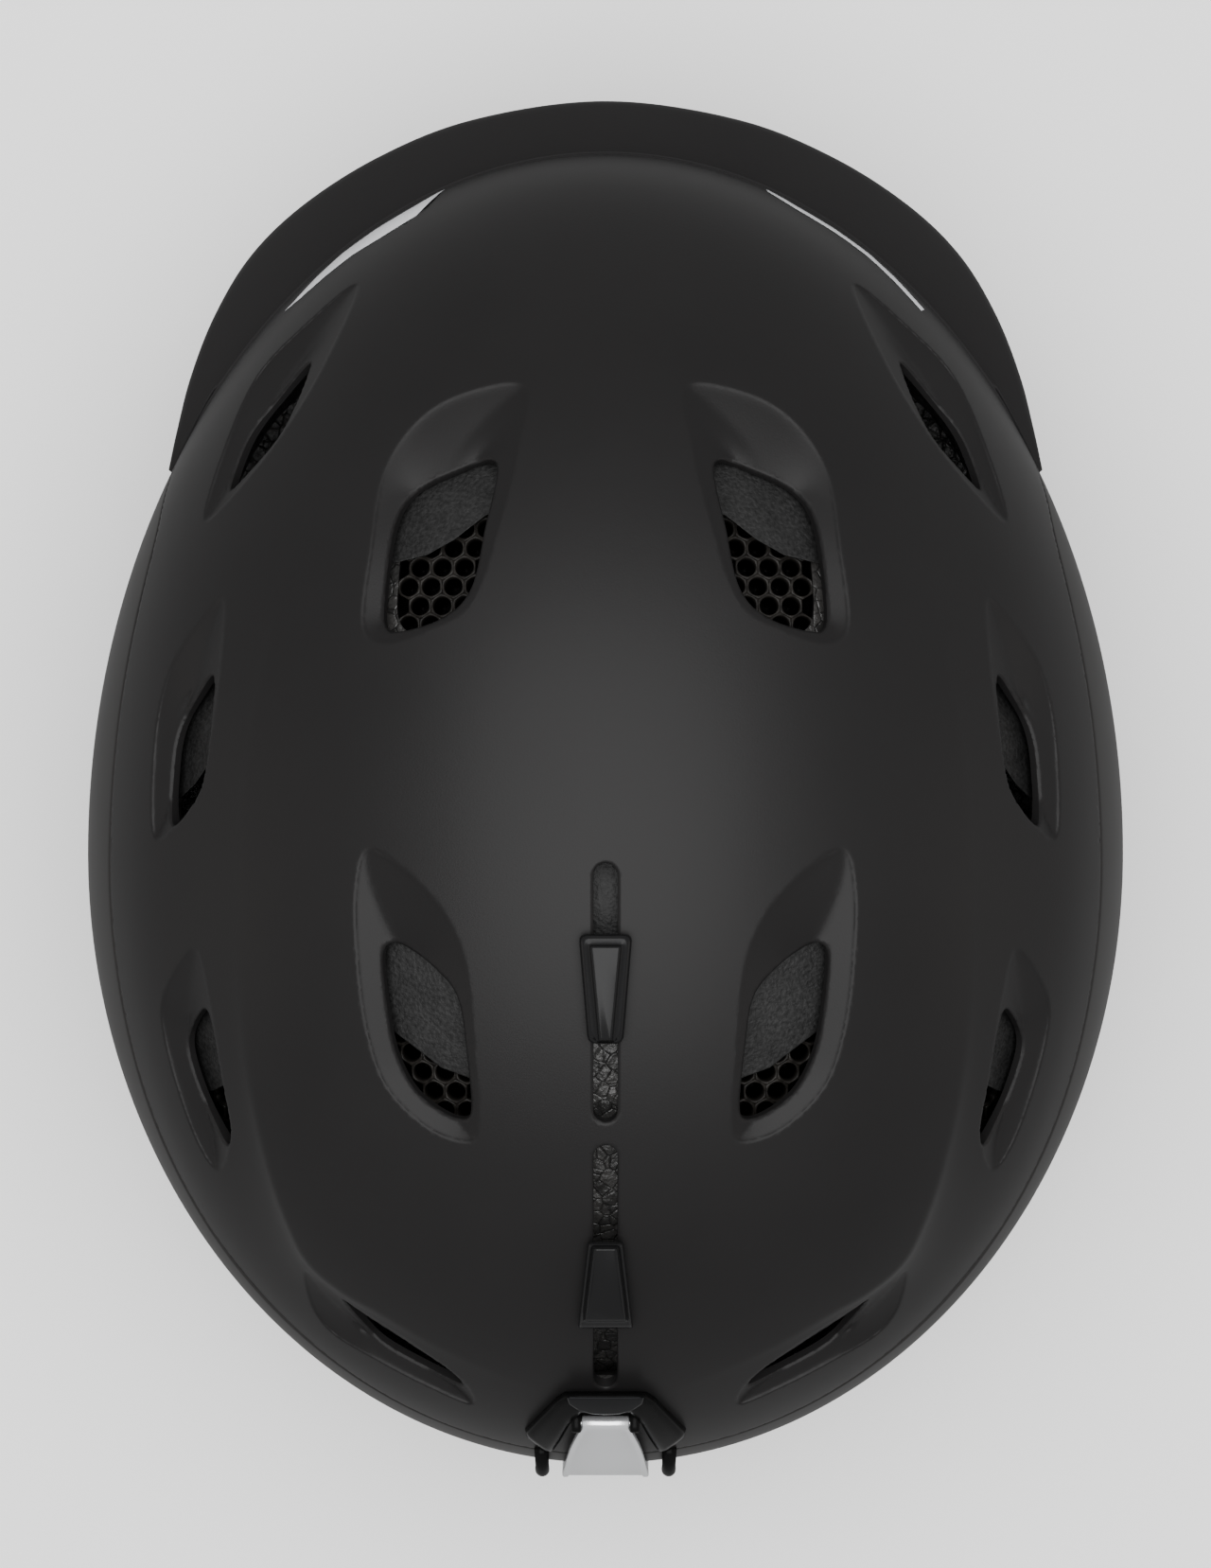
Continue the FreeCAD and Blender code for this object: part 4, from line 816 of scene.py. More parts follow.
def lower_shell():
    """The in-moulded skin below the seam, rolled round the rim and folded in under the foam."""
    count = 640
    turns = np.linspace(0, 2 * math.pi, count, endpoint=False)
    top = level_loop(smooth_profile(SEAM), turns) + SEAM_GAP / HALF_WIDTH
    rim = level_loop(smooth_profile(RIM), turns) - 1.0 / HALF_WIDTH
    rows = []
    for away in (0.0, 0.05, 0.15, 0.3, 0.5):
        place, out = form(ring_chart(turns, top + away / HALF_WIDTH))
        rows.append(press_trough(place - out * rounded_drop(away, SKIN_EDGE)))
    first = top + 1.4 / HALF_WIDTH
    for share in np.linspace(0, 1, 56):
        rows.append(press_trough(form(ring_chart(turns, first + (rim - first) * share))[0]))
    edge, out = form(ring_chart(turns, rim))
    down = form(ring_chart(turns, rim + 0.001))[0] - edge
    down /= np.linalg.norm(down, axis=1)[:, None]
    for angle in np.radians((20, 40, 60, 80)):
        rows.append(press_trough(edge + down * RIM_ROLL * math.sin(angle)
                                 - out * RIM_ROLL * (1 - math.cos(angle))))
    flat = out * (1, 1, 0)
    flat /= np.linalg.norm(flat, axis=1)[:, None]
    for inwards, drop in RIM_FOLD:
        place = edge - flat * inwards
        place[:, 2] = np.interp(place[:, 1], *smooth_profile(RIM).T) - drop
        rows.append(press_trough(place, 0.8))
    for share in np.linspace(0.97, 0, 14):
        place, out = form(ring_chart(turns, top + (rim - top) * share))
        rows.append(press_trough(place - out * SKIN_THICK, SKIN_THICK))
    faces = [face[::-1] for face in grid_faces(len(rows), count, wrap=True)]
    faces += closing_faces(len(rows), count)
    make_piece("lower_shell_skin", np.vstack(rows), faces, "helmet", "lower_skin",
               replaces=["lower_shell"])


# ---------------------------------------------------------------- the brim
BRIM_OUTER = [(91.8, -66.0), (90.3, -74.5), (87.8, -86), (83, -99.6), (75.6, -112.6), (64.5, -123.4),
              (48, -133.6), (28, -141.2), (0, -145.0)]
BRIM_HALF_WIDTH, BRIM_REACH, BRIM_RISE, BRIM_Z = 127.4, 171.8, 83.1, 60.0
BRIM_THICK, BRIM_EDGE, BRIM_TUCK = 5.5, 1.5, 2.5
EDGE_INSETS = (0.0, 0.08, 0.3, 0.65, 1.05, 1.5)        # steps round the brim's rounded edge
JOINT_ROWS = ((0.7, 0.03), (0.45, 0.2), (0.25, 0.45), (0.0, 0.65), (-BRIM_TUCK, 0.9))    # back, down


def dome_height(plan, half_width, far, rise, centre_z, centre_y=CENTRE_Y):
    """Height of a half ellipsoid over points of the plan; its base level outside its outline."""
    up = 1 - (plan[:, 0] / half_width) ** 2 - ((plan[:, 1] - centre_y) / far) ** 2
    return centre_z + rise * np.sqrt(np.clip(up, 0, None))


def form_height(plan, depth=0.0):
    """Height of the outer form, taken in by depth, over points of the plan."""
    return dome_height(plan, HALF_WIDTH - depth, reach(plan[:, 1] - CENTRE_Y) - depth,
                       CROWN_RISE - depth, WIDEST_Z)


def brim_height(plan):
    """Height of the brim's dome over points of the plan."""
    return dome_height(plan, BRIM_HALF_WIDTH, BRIM_REACH, BRIM_RISE, BRIM_Z)


def brim():
    """A crescent under a shallower dome, from its outline back to where it meets the shell."""
    left = np.array(BRIM_OUTER)
    outline = spline(np.vstack((left, left[-2::-1] * (-1, 1))), 1.0, False)
    centre = np.array((0.0, CENTRE_Y))
    low, high = np.full(len(outline), 0.8), np.full(len(outline), 1.0)
    for _ in range(30):
        mid = (low + high) / 2
        spot = centre + (outline - centre) * mid[:, None]
        buried = form_height(spot) > brim_height(spot)
        low, high = np.where(buried, mid, low), np.where(buried, high, mid)
    joint = centre + (outline - centre) * low[:, None]
    run = joint - outline
    width = np.linalg.norm(run, axis=1)
    run /= width[:, None] + 1e-9
    scale = np.clip(width / 5.0, 0.05, 1)              # the section shrinks towards the tips
    edge = BRIM_EDGE * scale
    rows = [(inset * scale, -rounded_drop(inset, BRIM_EDGE) * scale) for inset in EDGE_INSETS]
    rows += [(edge + (width - edge) * share, 0.0) for share in np.linspace(0.1, 0.9, 8)]
    rows += [(width - back * scale, -dip * scale) for back, dip in JOINT_ROWS]
    rows.append((width + BRIM_TUCK, -BRIM_THICK))
    rows += [(edge + (width - edge) * share, -BRIM_THICK) for share in np.linspace(0.95, 0.1, 6)]
    rows += [(inset * scale, -BRIM_THICK + rounded_drop(inset, BRIM_EDGE) * scale)
             for inset in EDGE_INSETS[::-1]]
    verts = []
    for inset, lift in rows:
        spot = outline + run * inset[:, None]
        verts.append(np.column_stack((spot, brim_height(spot) + lift)))
    count, size = len(verts), len(outline)
    last = (count - 1) * size
    faces = grid_faces(count, size)
    faces += [(last + c, last + c + 1, c + 1, c) for c in range(size - 1)]
    faces.append(tuple(r * size for r in range(count)))
    faces.append(tuple(r * size + size - 1 for r in reversed(range(count))))
    make_piece("brim_shell", np.vstack(verts), faces, "helmet", "brim", replaces=["brim"])


# ---------------------------------------------------------------- airflow tube cores
CORES = {
    "front": [(19.5, -64), (30, -64.5), (38, -58), (40.3, -48), (41, -38), (40, -31), (32, -29),
              (25, -35), (21, -50)],
    "rear": [(41.5, 30), (45, 34), (44, 47), (41, 57), (37, 62.5), (31, 66.6), (26.5, 67), (25, 62),
             (26, 50), (27, 40), (32, 34)],
    "side": [(81, 44), (84.5, 48), (85.6, 54), (83.5, 62), (80, 70.5), (76.8, 74.4), (75.2, 69),
             (76.5, 58), (78.5, 47)],
}
TUBE_PITCH = 4.4
TUBE_WALL = 0.33
CORE_DEPTH = 9.0
CORE_FOOT, FLOOR_THICK = 101.0, 0.5       # lowest level of a core, and the closed foot of a tube
# rings of the dark sheet of painted shade under each core
SHADE_SHEET_SHARES = (1.0, 0.75, 0.5, 0.25, 0.05)
CAVITY_HALF_WIDTH, CAVITY_HALF_LENGTH, CAVITY_RISE, CAVITY_Y = 82.0, 103.0, 76.0, 5.0


def cavity_height(plan, inset=0.0):
    """Height of the head space, taken in by inset, over points of the plan."""
    return dome_height(plan, CAVITY_HALF_WIDTH - inset, CAVITY_HALF_LENGTH - inset,
                       CAVITY_RISE - inset, WIDEST_Z, CAVITY_Y)


def tube_core(zone, side, sign):
    """Thin round tubes welded side by side, each closed near its foot."""
    outline = spline(CORES[zone], 0.5, True)
    spots = hex_points(outline.min(0), outline.max(0), TUBE_PITCH)
    spots = spots[signed(spots, outline) < -0.9] * (sign, 1)
    count = 24
    ring = circle(count)
    sixth = math.pi / 3
    turns = np.linspace(0, 2 * math.pi, count, endpoint=False)
    outer = TUBE_PITCH / 2 / np.cos((turns + sixth / 2) % sixth - sixth / 2)        # a hexagonal cell
    inner = TUBE_PITCH / 2 - TUBE_WALL
    verts, faces, painted_light_slots = [], [], []
    for spot in spots:
        start = len(verts) * count
        wide, narrow = spot + ring * outer[:, None], spot + ring * inner
        foot = np.maximum(cavity_height(spot[None]), CORE_FOOT)[0]
        levels = [(wide, np.full(count, foot)), (wide, form_height(wide, CORE_DEPTH)),
                  (narrow, form_height(narrow, CORE_DEPTH)), (narrow, np.full(count, foot + FLOOR_THICK)),
                  (narrow, np.full(count, foot))]
        verts += [np.column_stack(level) for level in levels]
        faces += grid_faces(len(levels), count, wrap=True, start=start)
        # the top faces take slot 1, whose lighter colour is a painted highlight along each rim
        painted_light_slots += [0] * count + [1] * count + [0] * 2 * count
        faces.append(tuple(start + 3 * count + i for i in range(count)))
        faces.append(tuple(start + i for i in range(count))[::-1])
        painted_light_slots += [0, 0]
    # a fine dark sheet of painted shade under the tubes, so that no light comes up between them
    edge = outline * (sign, 1)
    middle = edge.mean(0)
    start, size = len(verts) * count, len(edge)
    for lift, shares in ((0.1, SHADE_SHEET_SHARES), (0.45, SHADE_SHEET_SHARES[::-1])):
        for share in shares:
            plan = middle + (edge - middle) * share
            verts.append(np.column_stack((plan, np.maximum(cavity_height(plan), CORE_FOOT) + lift)))
    rows = 2 * len(SHADE_SHEET_SHARES)
    shade_sheet = grid_faces(rows, size, wrap=True, start=start) + closing_faces(rows, size, start)
    faces += shade_sheet
    painted_light_slots += [2] * len(shade_sheet)
    piece = make_piece("core_tubes_%s_%s" % (zone, side), np.vstack(verts), faces, "helmet", "core",
                       replaces=["tube_core_%s_%s" % (zone, side)])
    # slot 1 is the painted highlight on the tube tops, slot 2 the dark sheet of painted shade
    piece.data.materials.append(MATERIALS["core_rim_painted_highlight"])
    piece.data.materials.append(MATERIALS["shade_sheet"])
    piece.data.polygons.foreach_set("material_index", painted_light_slots)


# ---------------------------------------------------------------- slider knobs
def rounded_outline(corners, radius):
    """A closed outline with the same number of points whatever its size, its corners rounded."""
    per_edge, per_corner = 5, 6
    corners = np.array(corners, float)
    points = []
    count = len(corners)
    for i in range(count):
        before, here, after = corners[i - 1], corners[i], corners[(i + 1) % count]
        back = (before - here) / np.linalg.norm(before - here)
        ahead = (after - here) / np.linalg.norm(after - here)
        for t in np.linspace(0, 1, per_corner):
            points.append(here + back * radius * (1 - t) ** 2 + ahead * radius * t ** 2)
        stop = after - ahead * radius
        start = here + ahead * radius
        for t in np.linspace(0, 1, per_edge + 2)[1:-1]:
            points.append(start + (stop - start) * t)
    return np.array(points)


def grow_corners(corners, distance):
    """A small trapezoid about its middle, each side moved outwards by distance."""
    corners = np.array(corners, float)
    middle = corners.mean(0)
    return corners + np.sign(corners - middle) * distance


# For each knob: its plan, the radius of its corners, the plan of its ridge, and where its stem goes down.
KNOBS = {
    "front": ([(-5.2, 28.9), (5.2, 28.9), (3.4, 50.2), (-3.4, 50.2)], 1.7,
              [(-2.9, 31.2), (2.9, 31.2), (1.2, 49.4), (-1.2, 49.4)], 39.5),
    "rear": ([(-3.5, 89.7), (3.5, 89.7), (5.5, 107.9), (-5.5, 107.9)], 0.7,
             [(-2.2, 90.8), (2.2, 90.8), (4.0, 105.9), (-4.0, 105.9)], 98.8),
}
# Levels up the knob (growth of its plan, height over the form) and up its ridge (growth, radius, height).
KNOB_STEPS = ((-0.2, 0.7), (0.0, 1.0), (0.0, 2.3), (-0.15, 2.9), (-0.45, 3.45), (-0.95, 3.75))
RIDGE_STEPS = ((0.5, 0.5, 3.8), (0.2, 0.45, 4.1), (0.05, 0.4, 4.9), (-0.1, 0.35, 5.2), (-0.4, 0.3, 5.35))
STEM_HALF, STEM_HALF_LENGTH, SHUTTER_DEPTH = 1.9, 4.0, 6.1


def slider_knob(end):
    """A wedge-shaped knob with a centre ridge, on the stem that reaches down to its shutter."""
    plan, radius, ridge, stem_y = KNOBS[end]
    rings = []
    for growth, height in KNOB_STEPS:
        spots = rounded_outline(grow_corners(plan, growth), radius)
        rings.append(np.column_stack((spots, form_height(spots, -height))))
    for growth, rounding, height in RIDGE_STEPS:
        spots = rounded_outline(grow_corners(ridge, growth), rounding)
        rings.append(np.column_stack((spots, form_height(spots, -height))))
    low, high = stem_y - STEM_HALF_LENGTH, stem_y + STEM_HALF_LENGTH
    spots = rounded_outline([(-STEM_HALF, low), (STEM_HALF, low), (STEM_HALF, high), (-STEM_HALF, high)], 0.5)
    stem = [np.column_stack((spots, form_height(spots, depth))) for depth in (SHUTTER_DEPTH, -1.5)]
    verts, faces = joined([lofted(rings), lofted(stem)])
    make_piece("%s_knob_cap" % end, verts, faces, "%s_vent_slider" % end, "slider",
               replaces=["%s_slider_knob" % end])


# ---------------------------------------------------------------- the goggle clip
# Stations along the clip's arch from its middle to a foot: plan points of its outer and inner edges.
ARCH_OUTER = [(0, 122.3), (5.6, 122.3), (8.2, 122.4), (10.0, 123.7), (13.6, 128.1), (16.5, 131.8),
              (16.2, 133.8)]
ARCH_INNER = [(0, 127.2), (4.9, 127.2), (6.2, 129.2), (7.3, 130.3), (8.9, 133.9), (10.6, 137.2),
              (12.2, 137.6)]
ARCH_HEIGHT = 2.75
EAR_CORNERS = [(127.2, 140.1), (131.4, 140.1), (131.4, 146.8), (127.2, 146.8)]      # ears for the pin (y, z)
EAR_SIDES = ((4.95, 0.86), (5.1, 1.0), (6.7, 1.0), (6.85, 0.86))      # (x, growth)
FOOT_TOP, FOOT_RUN = (13.2, 137.2, 124.0), (0.0, 0.36, -0.933)
FOOT_STEPS = ((0, 1.5), (14.8, 1.4), (15.2, 1.5), (17.0, 1.5), (17.6, 1.3), (17.9, 0.9), (18.0, 0.3))
# The flap's hinge line comes first: (y, z, half width) down its inner face.
FLAP = [(129.4, 144.6, 4.9), (133.9, 138.0, 6.9), (137.2, 132.0, 7.9), (139.7, 126.5, 8.4),
        (141.6, 120.0, 8.7), (142.7, 112.0, 9.0), (142.9, 104.0, 9.0), (142.9, 83.0, 9.0),
        (142.9, 62.0, 7.6)]
FLAP_THICK = 1.6
PIN_Y, PIN_Z = 129.4, 144.9
BARREL_STEPS = ((-4.8, 1.3), (-4.6, 1.5), (4.6, 1.5), (4.8, 1.3))      # (x, radius)
LIP_CORNERS = [(141.0, 62.0), (143.5, 62.0), (143.5, 64.5), (142.0, 64.0)]


def clip_arch():
    """The winged bracket with two ears for the hinge pin and two round feet."""
    last = len(ARCH_OUTER) - 1
    share = np.linspace(0, last, 5 * last + 1)
    half = [at_lengths(np.array(edge), np.arange(last + 1), share) for edge in (ARCH_OUTER, ARCH_INNER)]
    outer, inner = (np.vstack((edge[:0:-1] * (-1, 1), edge)) for edge in half)
    taper = np.clip((last - np.abs(np.concatenate((-share[:0:-1], share)))) / 0.7, 0.02, 1) ** 0.5
    across = np.linspace(0, 1, 17)
    crown = (1 - np.abs(2 * across - 1) ** 5) ** 0.55
    rings = []
    for start, stop, rise in zip(outer, inner, taper):
        top = start + (stop - start) * across[:, None]
        over = [form_height(spot[None], -ARCH_HEIGHT * rise * lift)[0] for spot, lift in zip(top, crown)]
        under = top[::-1]
        rings.append(np.vstack((np.column_stack((top, over)),
                                np.column_stack((under, form_height(under, 0.1))))))
    parts = [lofted(rings)]
    ear = rounded_outline(EAR_CORNERS, 1.6)
    middle = ear.mean(0)
    run = np.array(FOOT_RUN) / np.linalg.norm(FOOT_RUN)
    ring = circle(18) @ np.array(((1.0, 0, 0), np.cross(run, (1.0, 0, 0))))
    for sign in (1, -1):
        parts.append(lofted([side_on(sign * x, middle + (ear - middle) * grow) for x, grow in EAR_SIDES]))
        parts.append(lofted([np.array(FOOT_TOP) * (sign, 1, 1) + run * far + ring * radius
                             for far, radius in FOOT_STEPS]))
    verts, faces = joined(parts)
    make_piece("goggle_clip_arch", verts, faces, "helmet", "clip_plastic", replaces=["goggle_clip_base"])


def clip_flap():
    """The hinged plate with a raised border, its barrel and the lip at its foot."""
    line = spline(FLAP, 1.5, False)
    ahead = np.gradient(line[:, :2], axis=0)
    ahead /= np.linalg.norm(ahead, axis=1)[:, None]
    out = np.stack((-ahead[:, 1], ahead[:, 0]), 1)
    border = [(0.0, 0.35), (0.1, 0.12), (0.35, 0.0)]
    face = [(0.35, FLAP_THICK), (1.0, FLAP_THICK), (1.25, FLAP_THICK - 0.35)]
    right = [(-1, inset, lift) for inset, lift in border]
    section = right + [(1, inset, lift) for _, inset, lift in right[::-1]]
    section += [(1, 0.0, FLAP_THICK - 0.35), (1, 0.1, FLAP_THICK - 0.12)]
    section += [(1, inset, lift) for inset, lift in face] + [(-1, inset, lift) for inset, lift in face[::-1]]
    section += [(-1, 0.1, FLAP_THICK - 0.12), (-1, 0.0, FLAP_THICK - 0.35)]
    rings = [[(sign * (half - inset), y + out_y * lift, z + out_z * lift) for sign, inset, lift in section]
             for (y, z, half), (out_y, out_z) in zip(line, out)]
    barrel = [side_on(x, (PIN_Y, PIN_Z) + circle(24) * radius) for x, radius in BARREL_STEPS]
    lip = [side_on(x, rounded_outline(LIP_CORNERS, 0.5)) for x in (-7.0, 7.0)]
    verts, faces = joined([lofted(rings), lofted(barrel), lofted(lip)])
    make_piece("goggle_clip_plate", verts, faces, "goggle_flap", "satin_chrome",
               replaces=["goggle_clip_flap"])


def buckle_ribs():
    """Grip ribs across both faces of the buckle's tongue and along the sides of its socket."""
    across = [side_on(x, [(y, z) for y in np.linspace(DIVIDER_Y - 7.2, DIVIDER_Y + 7.2, 12)])
              for x in np.arange(-5.8, 8.6, 2.4) for z in TONGUE_FACES]
    upright = [side_on(x, [(DIVIDER_Y + off, z) for z in np.linspace(2.2, 6.8, 6)])
               for x in np.arange(15.5, 33.0, 2.2) for off in SOCKET_SIDES]
    verts, faces = joined([tube_along(line, 0.55, 10) for line in across]
                          + [tube_along(line, 0.5, 10) for line in upright])
    make_piece("buckle_grip_ribs", verts, faces, "chin_strap", "buckle_plastic")


# ---------------------------------------------------------------- straps, thread and piping
def tube_along(line, radius, sides, closed=False):
    """Vertices and faces of a round tube along a line of points."""
    ahead = np.roll(line, -1, axis=0) - np.roll(line, 1, axis=0)
    if not closed:
        ahead[0], ahead[-1] = line[1] - line[0], line[-1] - line[-2]
    ahead /= np.linalg.norm(ahead, axis=1)[:, None]
    helper = np.where(np.abs(ahead[:, 2:3]) > 0.9, (1.0, 0, 0), (0, 0, 1.0))
    first = np.cross(ahead, helper)
    first /= np.linalg.norm(first, axis=1)[:, None]
    second = np.cross(ahead, first)
    ring = circle(sides)
    verts, faces = lofted(line[:, None] + first[:, None] * ring[:, :1] * radius
                          + second[:, None] * ring[:, 1:] * radius)
    if closed:
        faces[-2:] = closing_faces(len(line), sides)
    return verts, [f[::-1] for f in faces]


def stitches(line, length=2.2, gap=1.1, radius=0.22):
    """A row of stitches along a line: short lengths of thick thread."""
    along = lengths(line)
    parts = []
    at = 0.0
    while at + length < along[-1]:
        places = at + np.array((0.0, 0.18, 0.5, 0.82, 1.0)) * length
        parts.append(tube_along(at_lengths(line, along, places), radius, 6))
        at += length + gap
    return joined(parts)


def ribbon(name, line, across, width, thick, body, replaces):
    """Flat woven webbing along a line; across is the direction of its width at each point."""
    line, across = np.asarray(line, float), np.asarray(across, float)
    ahead = np.gradient(line, axis=0)
    ahead /= np.linalg.norm(ahead, axis=1)[:, None]
    across = across - ahead * (across * ahead).sum(1)[:, None]
    across /= np.linalg.norm(across, axis=1)[:, None]
    flat = np.cross(ahead, across)
    yarns = int(width / RIB_PITCH)
    u = np.linspace(-1, 1, 6 * yarns)
    half = thick / 2 * (1 - 0.5 * np.abs(u) ** 12) + RIB_HEIGHT * np.cos(u * math.pi * yarns)
    face = np.stack((u * width / 2, half), 1)
    section = np.vstack((face, face[::-1] * (1, -1)))
    verts, faces = lofted(line[:, None] + across[:, None] * section[:, :1] + flat[:, None] * section[:, 1:])
    uv = np.stack((np.tile(section[:, 0], len(line)), np.repeat(lengths(line), len(section))), 1)
    make_piece(name, verts, faces, body, "webbing", replaces=replaces, uv=uv)


RIB_PITCH, RIB_HEIGHT = 1.5, 0.08
DIVIDER_X, DIVIDER_Y, RIVET_Z = 60.0, 6.0, 58.0
STRAP_WIDTH, STRAP_THICK = 15.0, 1.6
SIDE_STRAP_WIDTH = 10.0
ANCHORS = {"front": (-27.0, 82.0, -7.0), "rear": (46.0, 73.0, 7.0)}
WEB_X, WEB_Z, BEND = DIVIDER_X + 2.3, 4.0, 20.0
BUCKLE_FACE, TONGUE_END = 36.0, -8.0
TONGUE_FACES, SOCKET_SIDES = (0.8, 7.2), (-12, 12)      # heights, and distances from the strap's line
BOX_LOW, BOX_HIGH, BOX_HALF = RIVET_Z - 15.0, RIVET_Z - 7.0, STRAP_WIDTH / 2 - 2.6      # a stitched box


def side_strap(run, side, sign):
    """Taut webbing from the divider up to its anchor in the foam."""
    y, z, shift = ANCHORS[run]
    foot = np.array((sign * DIVIDER_X, DIVIDER_Y + shift, RIVET_Z + 12.2))
    top = np.array((sign * 71.5, y, z + 0.6))
    share = np.linspace(0, 1, 60)[:, None]
    line = foot + (top - foot) * share
    line[:, 0] += sign * 0.8 * np.sin(share[:, 0] * math.pi)       # a little slack outwards
    along = (top - foot) / np.linalg.norm(top - foot)
    out = np.array((sign, 0.0, 0.0))
    across = np.cross(along, out - along * out.dot(along))
    ribbon("strap_%s_%s_web" % (run, side), line, np.tile(across, (len(line), 1)), SIDE_STRAP_WIDTH,
           STRAP_THICK, "helmet", replaces=["strap_%s_%s" % (run, side)])


def chin_web(side, sign):
    """Webbing from its rivet down, round a bend and along to the buckle, with a crossed box of stitches."""
    end = BUCKLE_FACE - 2 if sign > 0 else -TONGUE_END - 2
    upright = [(WEB_X, z) for z in np.linspace(RIVET_Z + 4.0, WEB_Z + BEND, 60)]
    bend = [(WEB_X - BEND + BEND * math.cos(a), WEB_Z + BEND - BEND * math.sin(a))
            for a in np.radians(np.arange(5, 91, 5))]
    level = [(x, WEB_Z) for x in np.linspace(WEB_X - BEND, end, 40)[1:]]
    line = np.array([(sign * x, DIVIDER_Y, z) for x, z in upright + bend + level])
    ribbon("chin_web_%s" % side, line, np.tile((0.0, 1.0, 0.0), (len(line), 1)), STRAP_WIDTH - 0.4,
           STRAP_THICK - 0.1, "chin_strap", replaces=["chin_webbing_%s" % side])
    x = sign * (WEB_X + STRAP_THICK / 2 + 0.1)
    first, last = DIVIDER_Y - BOX_HALF, DIVIDER_Y + BOX_HALF
    corners = [(first, BOX_LOW), (last, BOX_LOW), (last, BOX_HIGH), (first, BOX_HIGH)]
    share = np.linspace(0, 1, 20)[:, None]
    parts = []
    for a, b in ((0, 1), (1, 2), (2, 3), (3, 0), (0, 2), (1, 3)):
        (y0, z0), (y1, z1) = corners[a], corners[b]
        line = np.array((x, y0, z0)) + np.array((0, y1 - y0, z1 - z0)) * share
        parts.append(stitches(line, 1.5, 0.5, 0.2))
    verts, faces = joined(parts)
    make_piece("chin_web_stitching_%s" % side, verts, faces, "chin_strap", "thread")


# ---------------------------------------------------------------- carried-over CAD nodes
KEPT = [
    ("accent", 0.15, ["accent_strip_left", "accent_strip_right"]),
    ("shutter", 0.2, ["front_shutter", "rear_shutter"]),
    ("foam", 0.0, ["eps_crown_front", "eps_crown_rear", "eps_skirt"]),
    ("chrome", 0.3, ["goggle_clip_bar"]),
    ("steel", 0.2, ["goggle_clip_pin", "front_slider_screw", "rear_slider_screw", "strap_rivet_left",
                    "strap_rivet_right"]),
    ("fit_plastic", 0.5, ["fit_guide_left", "fit_guide_right", "fit_cradle", "ear_mount_left",
                          "ear_mount_right", "strap_anchor_front_left", "strap_anchor_front_right",
                          "strap_anchor_rear_left", "strap_anchor_rear_right", "strap_divider_left",
                          "strap_divider_right"]),
    ("steel", 0.3, ["ear_hinge_left", "ear_hinge_right"]),
    ("dial_rubber", 0.5, ["fit_dial", "strap_keeper"]),
    ("accent", 0.4, ["dial_cap"]),
    ("buckle_plastic", 0.9, ["buckle_socket", "buckle_tongue"]),
    ("button_plastic", 0.8, ["buckle_button"]),
]


def keep_nodes():
    """CAD nodes whose shape is right: their edges are eased and they get a detailed material."""
    for material, edge, names in KEPT:
        for name in names:
            node = NODES[name]
            if not node.material_slots:
                node.data.materials.append(None)
            for place in node.material_slots:
                place.material = MATERIALS[material]
            if edge:
                add_modifier(node, "WELD", merge_threshold=0.00001)
                add_modifier(node, "BEVEL", width=edge * MM, segments=3, limit_method="ANGLE",
                             angle_limit=math.radians(32), use_clamp_overlap=True,
                             harden_normals=False)
                add_modifier(node, "WEIGHTED_NORMAL", keep_sharp=False)


# ---------------------------------------------------------------- padded pieces
def bake(obj):
    """The object's mesh with its modifiers applied."""
    shaped = bpy.data.meshes.new_from_object(obj.evaluated_get(bpy.context.evaluated_depsgraph_get()))
    obj.modifiers.clear()
    obj.data = shaped


def read(items, key):
    """A vector that each vertex or face of a mesh holds, one to a row."""
    flat = np.zeros(len(items) * 3)
    items.foreach_get(key, flat)
    return flat.reshape(-1, 3)


def coords(obj):
    """The object's vertices, in metres."""
    return read(obj.data.vertices, "co")


def set_coords(obj, points):
    """Moves the object's vertices, in metres."""
    obj.data.vertices.foreach_set("co", np.asarray(points, float).ravel())
    obj.data.update()


PAD_PRESSURE, PAD_FRAMES = 4.0, 20


def plump(name, node, body, material, voxel, shrink, cap, fill, floor=None, rounds=3):
    """A padded piece: the CAD solid, remeshed, taken in a little and blown up as cloth.

    cap is how far the cloth may move, floor the lowest height it may have, both in millimetres.
    """
    obj = bpy.data.objects.new(name, NODES[node].data.copy())
    bpy.context.scene.collection.objects.link(obj)
    add_modifier(obj, "WELD", merge_threshold=0.00002)
    add_modifier(obj, "REMESH", mode="VOXEL", voxel_size=voxel * MM)
    add_modifier(obj, "SMOOTH", factor=0.5, iterations=rounds)
    bake(obj)
    start = coords(obj) - read(obj.data.vertices, "normal") * shrink * MM
    set_coords(obj, start)
    cloth = obj.modifiers.new("cloth", "CLOTH").settings
    cloth.use_pressure = True
    cloth.uniform_pressure_force = PAD_PRESSURE
    cloth.quality = 5
    cloth.effector_weights.gravity = 0
    scene = bpy.context.scene
    for step in range(1, PAD_FRAMES + 1):
        scene.frame_set(step)
    bake(obj)
    scene.frame_set(1)
    moved = coords(obj) - start
    far = np.linalg.norm(moved, axis=1)[:, None]
    set_coords(obj, start + moved * np.minimum(1, cap * MM / np.clip(far, 1e-9, None)))
    add_modifier(obj, "SMOOTH", factor=0.5, iterations=2)
    add_modifier(obj, "SUBSURF", levels=1, render_levels=1)
    bake(obj)
    if floor is not None:
        points = coords(obj)
        points[:, 2] = np.maximum(points[:, 2], floor * MM)
        set_coords(obj, points)
    obj.data.materials.clear()
    obj.data.materials.append(MATERIALS[material])
    obj.data.polygons.foreach_set("use_smooth", [True] * len(obj.data.polygons))
    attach(obj, body)
    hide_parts(node)
    return obj


